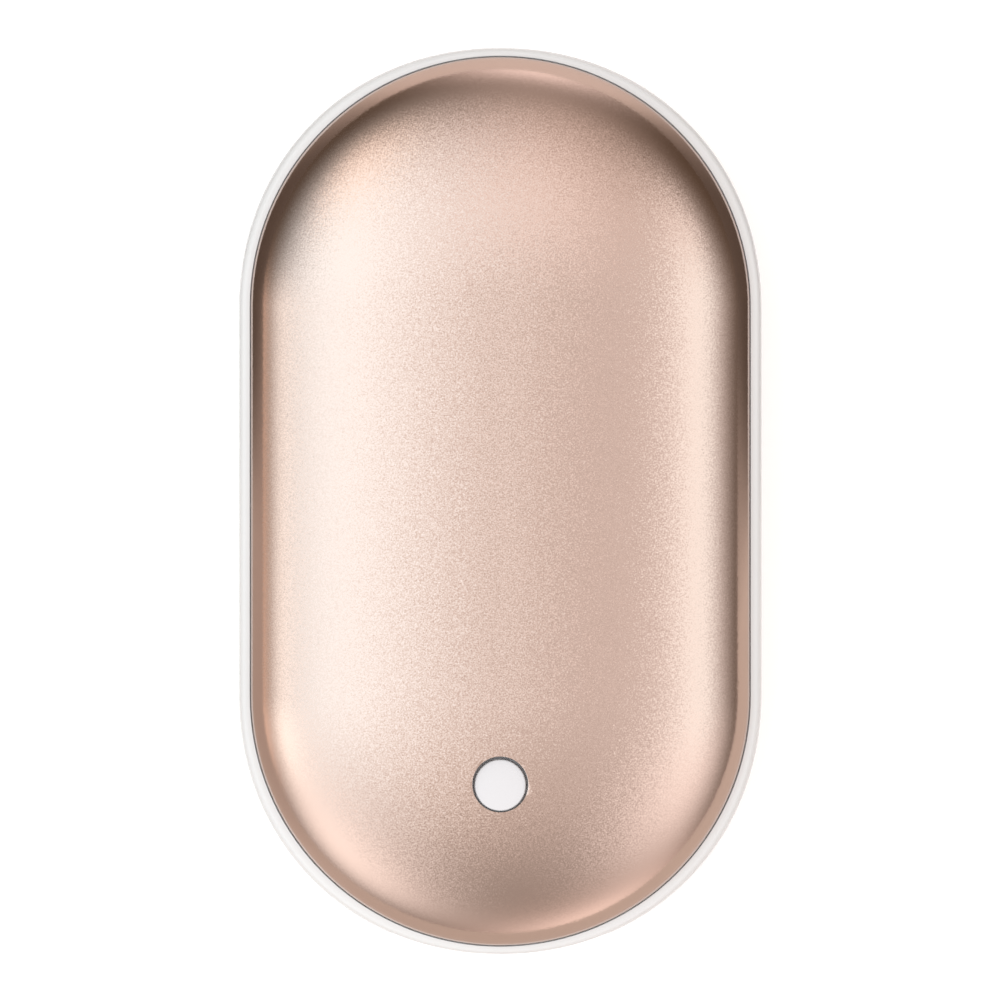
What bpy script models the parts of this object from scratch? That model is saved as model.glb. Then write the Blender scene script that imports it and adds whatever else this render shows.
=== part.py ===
"""A rechargeable hand warmer: two domed metal shells on a moulded band, round two cells and two heaters.

The case lies on its rear shell. X runs across it, Y along it with the ports at its -Y end, and Z up through
its thickness. The origin is under its middle, and every size is in metres.
"""

import math

import bmesh
import bpy
from mathutils import Matrix, Vector

# The whole case
CASE_WIDTH = 0.0600
CASE_LENGTH = 0.1040
CASE_THICKNESS = 0.0260

# Clearances
GAP = 0.0003
SLIDE_CLEARANCE = 0.00025
OVERRUN = 0.0010

# Metal shells
SHELL_WALL = 0.0008
BAND_PROUD_SIDE = 0.0014
BAND_PROUD_END = 0.00107
CROWN_HALF_WIDTH = 0.0050
CROWN_HALF_LENGTH = 0.0240

# Moulded band between the shells
BAND_BAY_EDGE = 0.00105
BAND_WALL = 0.0018
SEAM = 0.00025
GROOVE_DEPTH = 0.0005
FLANGE_THICKNESS = 0.0017
LIP_HEIGHT = 0.0012
LIP_THICKNESS = 0.0009
LIP_CLEARANCE = 0.000212

# Liners bonded inside the shells, with their snap hooks
LINER_THICKNESS = 0.0011
HOOK_WIDTH = 0.0040
HOOK_THICKNESS = 0.0010
HOOK_BRIDGE = 0.0009
HOOK_CATCH = 0.0010
FRONT_HOOK_SHARES = (-0.50, 0.0, 0.50)
REAR_HOOK_SHARES = (-0.27, 0.27)

# Cells and their cradle
CELL_SWITCH_GAP = 0.0017
CRADLE_BAND_GAP = 0.00023
INSULATOR_HEATER_GAP = 0.00095
TERMINAL_DIAMETER = 0.0060
TERMINAL_HEIGHT = 0.0006
CRADLE_WALL = 0.0016
CRADLE_END_WALL = 0.0008
CRADLE_HEIGHT = 0.0057
CRADLE_RISE = 0.0012
CRADLE_CORNER_CUT = 0.0022
STRIP_THICKNESS = 0.0002
STRIP_REACH = 0.00465
STRIP_HEIGHT = 0.0060
STRIP_TAB_WIDTH = 0.0080

# Screws, with the lugs and ears that they join
SCREW_DIAMETER = 0.0017
SCREW_LENGTH = 0.0034
SCREW_HEAD_DIAMETER = 0.0034
SCREW_HEAD_HEIGHT = 0.0011
LUG_RADIUS = 0.0021
LUG_HEIGHT = 0.0026
LUG_INSET = 0.0022
EAR_RADIUS = 0.0019
EAR_NECK = 0.0005
EAR_THICKNESS = 0.0013
CRADLE_SCREW_SHARE = 0.81
BOARD_SCREW_PORT_GAP = 0.00146
BOARD_LUG_INSET = 0.0037

# Charging board
BOARD_THICKNESS = 0.0012
BOARD_EDGE_GAP = 0.00035

# Charging ports, side by side in a flat bay of the band
BAY_MARGIN = 0.0006
BAY_EDGE_DEPTH = 0.00014
BAY_BOARD_GAP = 0.00037
PORT_MARGIN_LEFT = 0.0009
PORT_MARGIN_RIGHT = 0.0013
PORT_GAP = 0.0018
USB_A_WIDTH = 0.0131
USB_A_HEIGHT = 0.0057
USB_A_DEPTH = 0.0100
USB_A_TONGUE_MARGIN = 0.0010
USB_A_TONGUE_THICKNESS = 0.0018
USB_MICRO_WIDTH = 0.0075
USB_MICRO_HEIGHT = 0.0026
USB_MICRO_DEPTH = 0.0052
USB_MICRO_TONGUE_MARGIN = 0.0019
USB_MICRO_TONGUE_THICKNESS = 0.0006
USB_WALL = 0.0003
USB_HOUSING_DEPTH = 0.0016
USB_TONGUE_SETBACK = 0.0008

# Button, and the switch that it presses
BUTTON_FROM_END = 0.01863
BUTTON_DIAMETER = 0.0059
BUTTON_FLANGE_DIAMETER = 0.0084
BUTTON_FLANGE_THICKNESS = 0.0008
BUTTON_RECESS = 0.00005
BUTTON_EDGE = 0.00025
BUTTON_TRAVEL = 0.0003
STEM_DIAMETER = 0.0026
GUIDE_WALL = 0.0012
GUIDE_FLOOR = 0.0008
SWITCH_SIDE = 0.0052
SWITCH_HEIGHT = 0.0035
SWITCH_COVER_THICKNESS = 0.0002
PLUNGER_DIAMETER = 0.0026
PLUNGER_RISE = 0.0011
PLUNGER_DEPTH = 0.0014

# Charge lights and the comb that leads their light out through the band
LIGHT_COUNT = 4
LIGHT_PORT_GAP = 0.00352
LIGHT_PITCH_TURN = math.radians(6.5)
LIGHT_WIDTH = 0.0016
LIGHT_DEPTH = 0.0011
LIGHT_HEIGHT = 0.0033
COMB_HEIGHT = 0.0014
COMB_MARGIN_TURN = math.radians(2.6)
PIN_DIAMETER = 0.0012
PIN_SETBACK = 0.0001

# Heaters, insulators and the temperature sensor
HEATER_THICKNESS = 0.00025
HEATER_EDGE_SHARE = 0.57
HEATER_CUT_GAP = 0.0068
INSULATOR_WIDTH = 0.0200
INSULATOR_THICKNESS = 0.0012
INSULATOR_CORNER = 0.0030
INSULATOR_FRONT_MARGIN = 0.0080
INSULATOR_BACK_MARGIN = 0.0090
SENSOR_WIDTH = 0.0016
SENSOR_LENGTH = 0.0024
SENSOR_HEIGHT = 0.0010
SENSOR_LEAD_SHARE = 0.68
SENSOR_FROM_CELL_END = 0.0040

# Parts on the board
COIL_SIDE = 0.0060
COIL_HEIGHT = 0.0030
COIL_CORNER = 0.0016
COIL_SCREW_GAP = 0.00136
COIL_BUTTON_OFFSET = 0.0029
CHIP_WIDTH = 0.0050
CHIP_LENGTH = 0.0040
CHIP_HEIGHT = 0.0014
CHIP_SCREW_GAP = 0.00116
CHIP_BUTTON_OFFSET = 0.0021
BUTTON_LIGHT_X = 0.0046
BUTTON_LIGHT_HEIGHT = 0.0007

# Leads
CELL_LEAD_DIAMETER = 0.0014
HEATER_LEAD_DIAMETER = 0.0012
SENSOR_LEAD_DIAMETER = 0.0010
HEATER_LEAD_GAP = 0.00055
REAR_LEAD_DROP = 0.0009
REAR_LEAD_OFFSET = 0.00015

# The leads' bends, in lengths of one bend from where each starts; the rear heater's climbs by shares
# of its way up to the board
LEAD_BEND = 0.0010
CELL_LEAD_SHARES = (
    (0.0, 2.9, 0.0), (-0.3, 1.1, 0.0), (-2.6, -0.7, -0.6), (-4.0, -1.4, -2.4), (-4.1, -1.5, -4.6)
)
FRONT_LEAD_SHARES = (
    (0.0, 4.0, 0.0), (-0.2, 0.5, -0.2), (-0.4, -3.3, -1.1), (-0.6, -5.1, -3.2), (-0.6, -5.5, -7.7)
)
REAR_LEAD_SHARES = ((0.0, 0.0, 0.0), (0.5, -2.0, 0.07), (0.9, -4.0, 0.35), (1.0, -4.6, 0.66))
SENSOR_LEAD_RISE_SHARES = ((0.0, 0.0, 0.0), (0.0, -2.4, -0.9))
SENSOR_LEAD_FALL_SHARES = ((0.0, 2.9, 0.0), (0.8, 0.9, -0.3), (4.8, -0.7, -2.2), (6.8, -1.2, -6.0))

# Roundness of the curves, as powers: 2 is a true ellipse, and more is squarer
ELLIPSE_POWER = 2.0
CASE_POWER = 2.08
DOME_POWER = 2.0
BAND_POWER = 4.0

# Facets
END_STEPS = 20
DOME_STEPS = 8
LINER_STEPS = 3
HEATER_STEPS = 3
BAND_STEPS = 8
ROUND_STEPS = 24
SMALL_ROUND_STEPS = 12
CELL_STEPS = 28
ARC_STEPS = 6
SMOOTH_ANGLE = math.radians(32.0)
MERGE_DISTANCE = 0.00001

# Heights and radii that several pieces share
MIDDLE = CASE_THICKNESS / 2
BAY_HEIGHT = USB_A_HEIGHT + 2 * BAY_MARGIN
BAND_HEIGHT = BAY_HEIGHT + 2 * BAND_BAY_EDGE
SHELL_HALF_WIDTH = CASE_WIDTH / 2 - BAND_PROUD_SIDE
SHELL_HALF_LENGTH = CASE_LENGTH / 2 - BAND_PROUD_END
END_CENTRE = SHELL_HALF_LENGTH - SHELL_HALF_WIDTH
GROOVE_RISE = BAND_HEIGHT / 2 - GROOVE_DEPTH
RIM_HEIGHT = MIDDLE + GROOVE_RISE + GAP
LINER_INSET = SHELL_WALL + GAP
LINER_INNER_INSET = LINER_INSET + LINER_THICKNESS
LIP_RISE_SHARE = (LIP_HEIGHT - GAP) / (CASE_THICKNESS - LINER_INNER_INSET - RIM_HEIGHT)
LINER_SWEEP = max(
    SHELL_HALF_WIDTH - LINER_INNER_INSET - CROWN_HALF_WIDTH,
    SHELL_HALF_LENGTH - LINER_INNER_INSET - CROWN_HALF_LENGTH,
)
LINER_LEAN = LINER_SWEEP * (1 - (1 - LIP_RISE_SHARE ** DOME_POWER) ** (1 / DOME_POWER))
LIP_OUTER_INSET = LINER_INNER_INSET + LINER_LEAN + LIP_CLEARANCE
LIP_INNER_INSET = LIP_OUTER_INSET + LIP_THICKNESS
INSIDE_RADIUS = SHELL_HALF_WIDTH - LIP_INNER_INSET
BUTTON_Y = BUTTON_FROM_END - SHELL_HALF_LENGTH

# The largest cells that fit both across the case and through its thickness
CELL_ROOM_ACROSS = INSIDE_RADIUS - GAP - 2 * EAR_RADIUS - EAR_NECK - CRADLE_WALL - 3 * GAP / 2
CELL_ROOM_THROUGH = CASE_THICKNESS - 2 * (
    SHELL_WALL + 2 * GAP + HEATER_THICKNESS + INSULATOR_HEATER_GAP + INSULATOR_THICKNESS
)
CELL_RADIUS = min(CELL_ROOM_ACROSS, CELL_ROOM_THROUGH) / 2
CELL_X = CELL_RADIUS + GAP / 2
CRADLE_HALF_WIDTH = CELL_X + CELL_RADIUS + GAP + CRADLE_WALL
CRADLE_RADIUS = INSIDE_RADIUS - CRADLE_BAND_GAP
CRADLE_END_Y = END_CENTRE + min(
    math.sqrt(CRADLE_RADIUS ** 2 - CRADLE_HALF_WIDTH ** 2) + CRADLE_CORNER_CUT,
    math.sqrt(CRADLE_RADIUS ** 2 - (CRADLE_HALF_WIDTH - CRADLE_CORNER_CUT) ** 2),
)
CELL_END_Y = CRADLE_END_Y - CRADLE_END_WALL - 2 * GAP - STRIP_THICKNESS
CELL_FRONT_Y = BUTTON_Y + SWITCH_SIDE / 2 + CELL_SWITCH_GAP
CELL_LENGTH = CELL_END_Y - CELL_FRONT_Y
STRIP_WIDTH = 2 * (CELL_X + STRIP_REACH)
INSULATOR_LENGTH = CELL_LENGTH - INSULATOR_FRONT_MARGIN - INSULATOR_BACK_MARGIN
INSULATOR_CENTRE_Y = CELL_FRONT_Y + INSULATOR_FRONT_MARGIN + INSULATOR_LENGTH / 2
SENSOR_Y = CELL_END_Y - SENSOR_FROM_CELL_END
HEATER_CUT_Y = BUTTON_Y + HEATER_CUT_GAP

# The port bay, its ports side by side, and the board that they stand on
BAY_HALF_WIDTH = (PORT_MARGIN_LEFT + USB_A_WIDTH + PORT_GAP + USB_MICRO_WIDTH + PORT_MARGIN_RIGHT) / 2
LIGHT_FIRST_X = BAY_HALF_WIDTH - PORT_MARGIN_RIGHT + LIGHT_PORT_GAP
LIGHT_FIRST_TURN = math.asin(LIGHT_FIRST_X / (INSIDE_RADIUS - BOARD_EDGE_GAP))
BAY_EDGE_RISE = math.sqrt((CASE_WIDTH / 2) ** 2 - BAY_HALF_WIDTH ** 2)
BAY_FLOOR_Y = (CASE_WIDTH - CASE_LENGTH) / 2 - BAY_EDGE_RISE - BAY_EDGE_DEPTH
BAY_BACK_Y = -END_CENTRE - INSIDE_RADIUS + BOARD_EDGE_GAP - BAY_BOARD_GAP
USB_A_CENTRE_X = PORT_MARGIN_LEFT + USB_A_WIDTH / 2 - BAY_HALF_WIDTH
USB_MICRO_CENTRE_X = BAY_HALF_WIDTH - PORT_MARGIN_RIGHT - USB_MICRO_WIDTH / 2
BOARD_TOP = MIDDLE - USB_A_HEIGHT / 2 - GAP
BOARD_LUG_TOP = BOARD_TOP - BOARD_THICKNESS - GAP
BOARD_LUG_SHARE = 1 - (SHELL_HALF_WIDTH - LINER_INNER_INSET - INSIDE_RADIUS - GAP) / LINER_SWEEP
BOARD_LUG_RISE = (CASE_THICKNESS - LINER_INNER_INSET - RIM_HEIGHT) * math.sqrt(1 - BOARD_LUG_SHARE ** 2)
BOARD_LUG_BOTTOM = CASE_THICKNESS - RIM_HEIGHT - BOARD_LUG_RISE + GAP
BOARD_BACK_Y = CELL_FRONT_Y - STRIP_THICKNESS - CRADLE_END_WALL - 3 * GAP
PARTS_HEIGHT = BOARD_TOP + GAP
LUG_TOP = MIDDLE - GROOVE_RISE + FLANGE_THICKNESS / 2 + LUG_HEIGHT
BOARD_SCREW_X = USB_A_WIDTH / 2 - USB_A_CENTRE_X + BOARD_SCREW_PORT_GAP + SCREW_HEAD_DIAMETER / 2
BOARD_SCREW_TURN = math.acos(BOARD_SCREW_X / (INSIDE_RADIUS - BOARD_LUG_INSET))
COIL_X = SCREW_HEAD_DIAMETER / 2 + COIL_SCREW_GAP + COIL_SIDE / 2 - BOARD_SCREW_X
COIL_Y = BUTTON_Y - COIL_BUTTON_OFFSET
CHIP_X = BOARD_SCREW_X - SCREW_HEAD_DIAMETER / 2 - CHIP_SCREW_GAP - CHIP_WIDTH / 2
CHIP_Y = BUTTON_Y - CHIP_BUTTON_OFFSET

# Turns that lay an upright shape along X or Y, and stand an outline drawn across the case upright
LIE_ALONG_X = Matrix(((0, 0, 1, 0), (1, 0, 0, 0), (0, 1, 0, 0), (0, 0, 0, 1)))
LIE_ALONG_Y = Matrix(((1, 0, 0, 0), (0, 0, 1, 0), (0, 1, 0, 0), (0, 0, 0, 1)))


def make_material(name, colour, roughness, metallic=0.0):
    """A plain finish for one kind of piece."""
    material = bpy.data.materials.new(name)
    material.use_nodes = True
    shader = material.node_tree.nodes["Principled BSDF"]
    shader.inputs["Base Color"].default_value = (*colour, 1.0)
    shader.inputs["Roughness"].default_value = roughness
    shader.inputs["Metallic"].default_value = metallic
    return material


def make_piece(name, bm, material, location=(0.0, 0.0, 0.0), rotation=(0.0, 0.0, 0.0)):
    """A named object with one material, smooth where its faces nearly agree."""
    bmesh.ops.recalc_face_normals(bm, faces=bm.faces)
    if bm.calc_volume(signed=True) < 0:
        bmesh.ops.reverse_faces(bm, faces=bm.faces)
    mesh = bpy.data.meshes.new(name)
    bm.to_mesh(mesh)
    bm.free()
    mesh.shade_smooth()
    mesh.set_sharp_from_angle(angle=SMOOTH_ANGLE)
    mesh.materials.append(material)
    piece = bpy.data.objects.new(name, mesh)
    piece.location = location
    piece.rotation_euler = rotation
    bpy.context.collection.objects.link(piece)
    return piece


def combine(piece, name, bm, operation):
    """Join, cut or trim a piece with a helper shape, which is itself left out of the model."""
    helper = make_piece(name, bm, piece.data.materials[0])
    helper.hide_render = True
    helper.display_type = "WIRE"
    modifier = piece.modifiers.new(name, "BOOLEAN")
    modifier.operation = operation
    modifier.object = helper


def stadium(half_width, half_length, height, power=ELLIPSE_POWER):
    """A round-ended outline at one height."""
    centre = half_length - half_width
    points = []
    for end in (1.0, -1.0):
        for step in range(END_STEPS + 1):
            turn = math.pi * step / END_STEPS
            across = math.copysign(abs(math.cos(turn)) ** (2 / power), math.cos(turn))
            along = abs(math.sin(turn)) ** (2 / power)
            points.append((end * half_width * across, end * (centre + half_width * along), height))
    return points


def dome_ring(share, inset, rear=False):
    """The dome's outline at a share of the turn from its rim to its crown, inset into its wall."""
    turn = share * math.pi / 2
    out = abs(math.cos(turn)) ** (2 / DOME_POWER)
    up = abs(math.sin(turn)) ** (2 / DOME_POWER)
    half_width = CROWN_HALF_WIDTH + (SHELL_HALF_WIDTH - inset - CROWN_HALF_WIDTH) * out
    half_length = CROWN_HALF_LENGTH + (SHELL_HALF_LENGTH - inset - CROWN_HALF_LENGTH) * out
    height = RIM_HEIGHT + (CASE_THICKNESS - inset - RIM_HEIGHT) * up
    return stadium(half_width, half_length, CASE_THICKNESS - height if rear else height)


def dome_height(y, inset):
    """How high the front dome is on its centre line, inset into its wall."""
    reach = SHELL_HALF_LENGTH - inset - CROWN_HALF_LENGTH
    out = max(abs(y) - CROWN_HALF_LENGTH, 0.0) / reach
    return RIM_HEIGHT + (CASE_THICKNESS - inset - RIM_HEIGHT) * (1 - out ** DOME_POWER) ** (1 / DOME_POWER)


def loft(rings, closed=False):
    """A skin drawn through outlines with equally many points, capped at both ends or joined round."""
    bm = bmesh.new()
    corners = [bm.verts.new(point) for point in rings[0]]
    edges = [bm.edges.new(pair) for pair in zip(corners, corners[1:] + corners[:1])]
    first = edges
    for ring in rings[1:] + (rings[:1] if closed else []):
        made = bmesh.ops.extrude_edge_only(bm, edges=edges)["geom"]
        fresh = {item for item in made if isinstance(item, bmesh.types.BMVert)}
        edges = [item for item in made if isinstance(item, bmesh.types.BMEdge)]
        edges = [edge for edge in edges if fresh.issuperset(edge.verts)]
        drawn = []
        for corner, place in zip(corners, ring):
            neighbours = [edge.other_vert(corner) for edge in corner.link_edges]
            drawn.append(next(vert for vert in neighbours if vert in fresh))
            drawn[-1].co = place
        corners = drawn
    if closed:
        bmesh.ops.remove_doubles(bm, verts=bm.verts, dist=MERGE_DISTANCE)
    else:
        bmesh.ops.edgeloop_fill(bm, edges=first)
        bmesh.ops.edgeloop_fill(bm, edges=edges)
    return bm


def domed_sheet(inset, thickness, edge_share, steps, rear=False):
    """A sheet of even thickness that follows the dome from its crown out to a share of the turn."""
    shares = [edge_share + (1 - edge_share) * step / steps for step in range(steps + 1)]
    outer = [dome_ring(share, inset, rear) for share in reversed(shares)]
    inner = [dome_ring(share, inset + thickness, rear) for share in shares]
    return loft(outer + inner)


def turned(profile, steps=ROUND_STEPS, closed=False):
    """A solid turned about Z from points of radius and height; a closed profile leaves a bore."""
    bm = bmesh.new()
    corners = [bm.verts.new((radius, 0.0, height)) for radius, height in profile]
    following = corners[1:] + corners[:1] if closed else corners[1:]
    edges = [bm.edges.new(pair) for pair in zip(corners, following)]
    bmesh.ops.spin(
        bm, geom=corners + edges, cent=(0.0, 0.0, 0.0), axis=(0.0, 0.0, 1.0), angle=2 * math.pi,
        steps=steps, use_merge=True,
    )
    bmesh.ops.remove_doubles(bm, verts=bm.verts, dist=MERGE_DISTANCE)
    return bm


def rod(radius, bottom, top, steps=SMALL_ROUND_STEPS):
    """An upright round rod."""
    return turned([(0.0, bottom), (radius, bottom), (radius, top), (0.0, top)], steps)


def extruded(outline, bottom, top):
    """An upright prism on a flat outline."""
    bm = bmesh.new()
    face = bm.faces.new([bm.verts.new((x, y, bottom)) for x, y in outline])
    made = bmesh.ops.extrude_face_region(bm, geom=[face])
    risen = [item for item in made["geom"] if isinstance(item, bmesh.types.BMVert)]
    bmesh.ops.translate(bm, vec=(0.0, 0.0, top - bottom), verts=risen)
    return bm


def moved(bm, matrix):
    """The same shape, turned and shifted."""
    bmesh.ops.transform(bm, matrix=matrix, verts=bm.verts)
    return bm


def joined(shapes):
    """Several separate shapes in one mesh."""
    together = bmesh.new()
    for shape in shapes:
        mesh = bpy.data.meshes.new("shape")
        shape.to_mesh(mesh)
        shape.free()
        together.from_mesh(mesh)
        bpy.data.meshes.remove(mesh)
    return together


def slab(low, high):
    """A box between two corners."""
    (left, front, bottom), (right, back, top) = low, high
    return extruded([(left, front), (right, front), (right, back), (left, back)], bottom, top)


def rounded_box(width, length, corner, bottom, top):
    """An upright block with rounded corners, centred on the Z axis."""
    outline = []
    for right, back, quarter in ((1, 1, 0), (-1, 1, 1), (-1, -1, 2), (1, -1, 3)):
        for step in range(ARC_STEPS + 1):
            turn = (quarter + step / ARC_STEPS) * math.pi / 2
            x = right * (width / 2 - corner) + corner * math.cos(turn)
            y = back * (length / 2 - corner) + corner * math.sin(turn)
            outline.append((x, y))
    return extruded(outline, bottom, top)


def tongue(square_at, round_at, radius, bottom, top):
    """A lug along X from a square end to a round one, with the round end's centre at round_at."""
    side = math.copysign(1.0, round_at - square_at)
    outline = [(square_at, -radius), (square_at, radius)]
    for step in range(2 * ARC_STEPS + 1):
        turn = math.pi / 2 - math.pi * step / (2 * ARC_STEPS)
        outline.append((round_at + side * radius * math.cos(turn), radius * math.sin(turn)))
    return extruded(outline, bottom, top)


def about(centre_y, turn):
    """A frame whose +X points out at a turn from the case's +X, from a point on its centre line."""
    return Matrix.Translation((0.0, centre_y, 0.0)) @ Matrix.Rotation(turn, 4, "Z")


def band_ring(inset, height, power=ELLIPSE_POWER):
    """One outline of the band, inset from the outer edge of the shells."""
    return stadium(SHELL_HALF_WIDTH - inset, SHELL_HALF_LENGTH - inset, height, power)


def band_section():
    """The band's outlines round its section: its bulging face, then its grooves, lips and channel."""
    rings = []
    for step in range(BAND_STEPS + 1):
        turn = math.pi / 2 - math.pi * step / BAND_STEPS
        out = abs(math.cos(turn)) ** (2 / BAND_POWER)
        rise = math.copysign(abs(math.sin(turn)) ** (2 / BAND_POWER), turn)
        half_width = SHELL_HALF_WIDTH + SEAM + (BAND_PROUD_SIDE - SEAM) * out
        half_length = SHELL_HALF_LENGTH + SEAM + (BAND_PROUD_END - SEAM) * out
        power = ELLIPSE_POWER + (CASE_POWER - ELLIPSE_POWER) * out
        rings.append(stadium(half_width, half_length, MIDDLE + rise * BAND_HEIGHT / 2, power))
    channel_inset = BAND_WALL - BAND_PROUD_SIDE
    section = (
        (-SEAM, GROOVE_RISE),
        (LIP_OUTER_INSET, GROOVE_RISE),
        (LIP_OUTER_INSET, GROOVE_RISE + LIP_HEIGHT),
        (LIP_INNER_INSET, GROOVE_RISE + LIP_HEIGHT),
        (LIP_INNER_INSET, GROOVE_RISE - FLANGE_THICKNESS),
        (channel_inset, GROOVE_RISE - FLANGE_THICKNESS),
    )
    rings += [band_ring(inset, MIDDLE - rise) for inset, rise in section]
    rings += [band_ring(inset, MIDDLE + rise) for inset, rise in reversed(section)]
    return loft(rings, closed=True)


def screw_frames():
    """Where the cradle's four screws stand: frames with +X out towards the band."""
    reach = CRADLE_SCREW_SHARE * END_CENTRE
    return [about(y, turn) for y in (-reach, reach) for turn in (0.0, math.pi)]


def board_screw_frames():
    """Where the board's two screws stand, on the arc at the ports' end."""
    return [about(-END_CENTRE, -turn) for turn in (BOARD_SCREW_TURN, math.pi - BOARD_SCREW_TURN)]


def port_sizes():
    """Each port's middle, width, height and depth."""
    return (
        (USB_A_CENTRE_X, USB_A_WIDTH, USB_A_HEIGHT, USB_A_DEPTH),
        (USB_MICRO_CENTRE_X, USB_MICRO_WIDTH, USB_MICRO_HEIGHT, USB_MICRO_DEPTH),
    )


def light_turns():
    """The turns from the case's +X at which the charge lights lie."""
    return [LIGHT_FIRST_TURN + LIGHT_PITCH_TURN * index - math.pi / 2 for index in range(LIGHT_COUNT)]


def make_band(plastic):
    """The white band that carries everything: shells, cradle, board and ports."""
    band = make_piece("mid_band", band_section(), plastic)
    flange_middle = MIDDLE - GROOVE_RISE + FLANGE_THICKNESS / 2
    lip_middle = INSIDE_RADIUS + LIP_THICKNESS / 2
    lugs = []
    for frame in screw_frames():
        lug = tongue(lip_middle, INSIDE_RADIUS - LUG_INSET, LUG_RADIUS, flange_middle, LUG_TOP)
        lugs.append(moved(lug, frame))
    for frame in board_screw_frames():
        inner = INSIDE_RADIUS - BOARD_LUG_INSET
        lug = tongue(INSIDE_RADIUS + GAP, inner, LUG_RADIUS, BOARD_LUG_BOTTOM, BOARD_LUG_TOP)
        lugs.append(moved(lug, frame))
    block_radius = CASE_WIDTH / 2 - BAND_WALL / 2
    edge_turn = math.asin(BAY_HALF_WIDTH / block_radius)
    outline = [(-BAY_HALF_WIDTH, BAY_BACK_Y)]
    for step in range(2 * ARC_STEPS + 1):
        turn = -math.pi / 2 - edge_turn + 2 * edge_turn * step / (2 * ARC_STEPS)
        outline.append((block_radius * math.cos(turn), block_radius * math.sin(turn) - END_CENTRE))
    outline.append((BAY_HALF_WIDTH, BAY_BACK_Y))
    block_rise = GROOVE_RISE - FLANGE_THICKNESS / 4
    lugs.append(extruded(outline, MIDDLE - block_rise, MIDDLE + block_rise))
    combine(band, "band_lugs", joined(lugs), "UNION")
    cuts = [slab(
        (-BAY_HALF_WIDTH - GAP, -CASE_LENGTH / 2 - OVERRUN, MIDDLE - BAY_HEIGHT / 2),
        (BAY_HALF_WIDTH + GAP, BAY_FLOOR_Y, MIDDLE + BAY_HEIGHT / 2),
    )]
    combine(band, "port_bay", joined(cuts), "DIFFERENCE")
    holes = []
    for middle, width, height, depth in port_sizes():
        low = (middle - width / 2 - GAP, BAY_FLOOR_Y - OVERRUN, BOARD_TOP)
        high = (middle + width / 2 + GAP, BAY_FLOOR_Y + depth, PARTS_HEIGHT + height + GAP)
        holes.append(slab(low, high))
    hole_radius = SCREW_DIAMETER / 2 + GAP
    for frame in screw_frames():
        hole = rod(hole_radius, flange_middle - OVERRUN, LUG_TOP + OVERRUN)
        holes.append(moved(hole, frame @ Matrix.Translation((INSIDE_RADIUS - LUG_INSET, 0.0, 0.0))))
    for frame in board_screw_frames():
        hole = rod(hole_radius, BOARD_LUG_BOTTOM - OVERRUN, BOARD_TOP)
        holes.append(moved(hole, frame @ Matrix.Translation((INSIDE_RADIUS - BOARD_LUG_INSET, 0.0, 0.0))))
    wall_inside = CASE_WIDTH / 2 - BAND_WALL
    lift = Matrix.Translation((0.0, 0.0, MIDDLE))
    for turn in light_turns():
        window = rod(PIN_DIAMETER / 2 + GAP, wall_inside - OVERRUN, CASE_WIDTH / 2 + OVERRUN)
        holes.append(moved(window, about(-END_CENTRE, turn) @ lift @ LIE_ALONG_X))
    combine(band, "band_holes", joined(holes), "DIFFERENCE")


def make_shells(metal):
    """The two drawn metal shells; the front one has the button's bore."""
    front = make_piece("front_shell", domed_sheet(0.0, SHELL_WALL, 0.0, DOME_STEPS), metal)
    bore = rod(BUTTON_DIAMETER / 2 + SLIDE_CLEARANCE, MIDDLE, CASE_THICKNESS + OVERRUN, ROUND_STEPS)
    combine(front, "button_bore", moved(bore, Matrix.Translation((0.0, BUTTON_Y, 0.0))), "DIFFERENCE")
    make_piece("rear_shell", domed_sheet(0.0, SHELL_WALL, 0.0, DOME_STEPS, rear=True), metal)


def liner_turn():
    """How far a liner climbs the dome, as a turn from the rim: to the top of its hooks' bridges."""
    reach = CASE_THICKNESS - LINER_INSET - RIM_HEIGHT
    return math.asin(((LIP_HEIGHT + HOOK_BRIDGE) / reach) ** (DOME_POWER / 2))


def hook(side, y):
    """A snap hook that passes inside the band's lip and catches under its flange."""
    lip_top = MIDDLE + GROOVE_RISE + LIP_HEIGHT
    flange_underside = MIDDLE + GROOVE_RISE - FLANGE_THICKNESS
    face = INSIDE_RADIUS - GAP
    sweep = SHELL_HALF_WIDTH - LINER_INSET - CROWN_HALF_WIDTH
    bridge_out = CROWN_HALF_WIDTH + sweep * math.cos(liner_turn()) - LINER_THICKNESS / 5
    catch_top = flange_underside - GAP
    catch_bottom = catch_top - HOOK_BRIDGE - HOOK_CATCH
    profile = (
        (bridge_out, lip_top + GAP),
        (bridge_out, lip_top + GAP + HOOK_BRIDGE),
        (face - HOOK_THICKNESS, lip_top + GAP + HOOK_BRIDGE),
        (face - HOOK_THICKNESS, catch_bottom),
        (face, catch_bottom),
        (face + HOOK_CATCH, catch_top - HOOK_BRIDGE),
        (face + HOOK_CATCH, catch_top),
        (face, catch_top),
        (face, lip_top + GAP),
    )
    shape = extruded([(side * x, z) for x, z in profile], y - HOOK_WIDTH / 2, y + HOOK_WIDTH / 2)
    return moved(shape, LIE_ALONG_Y)


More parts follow.
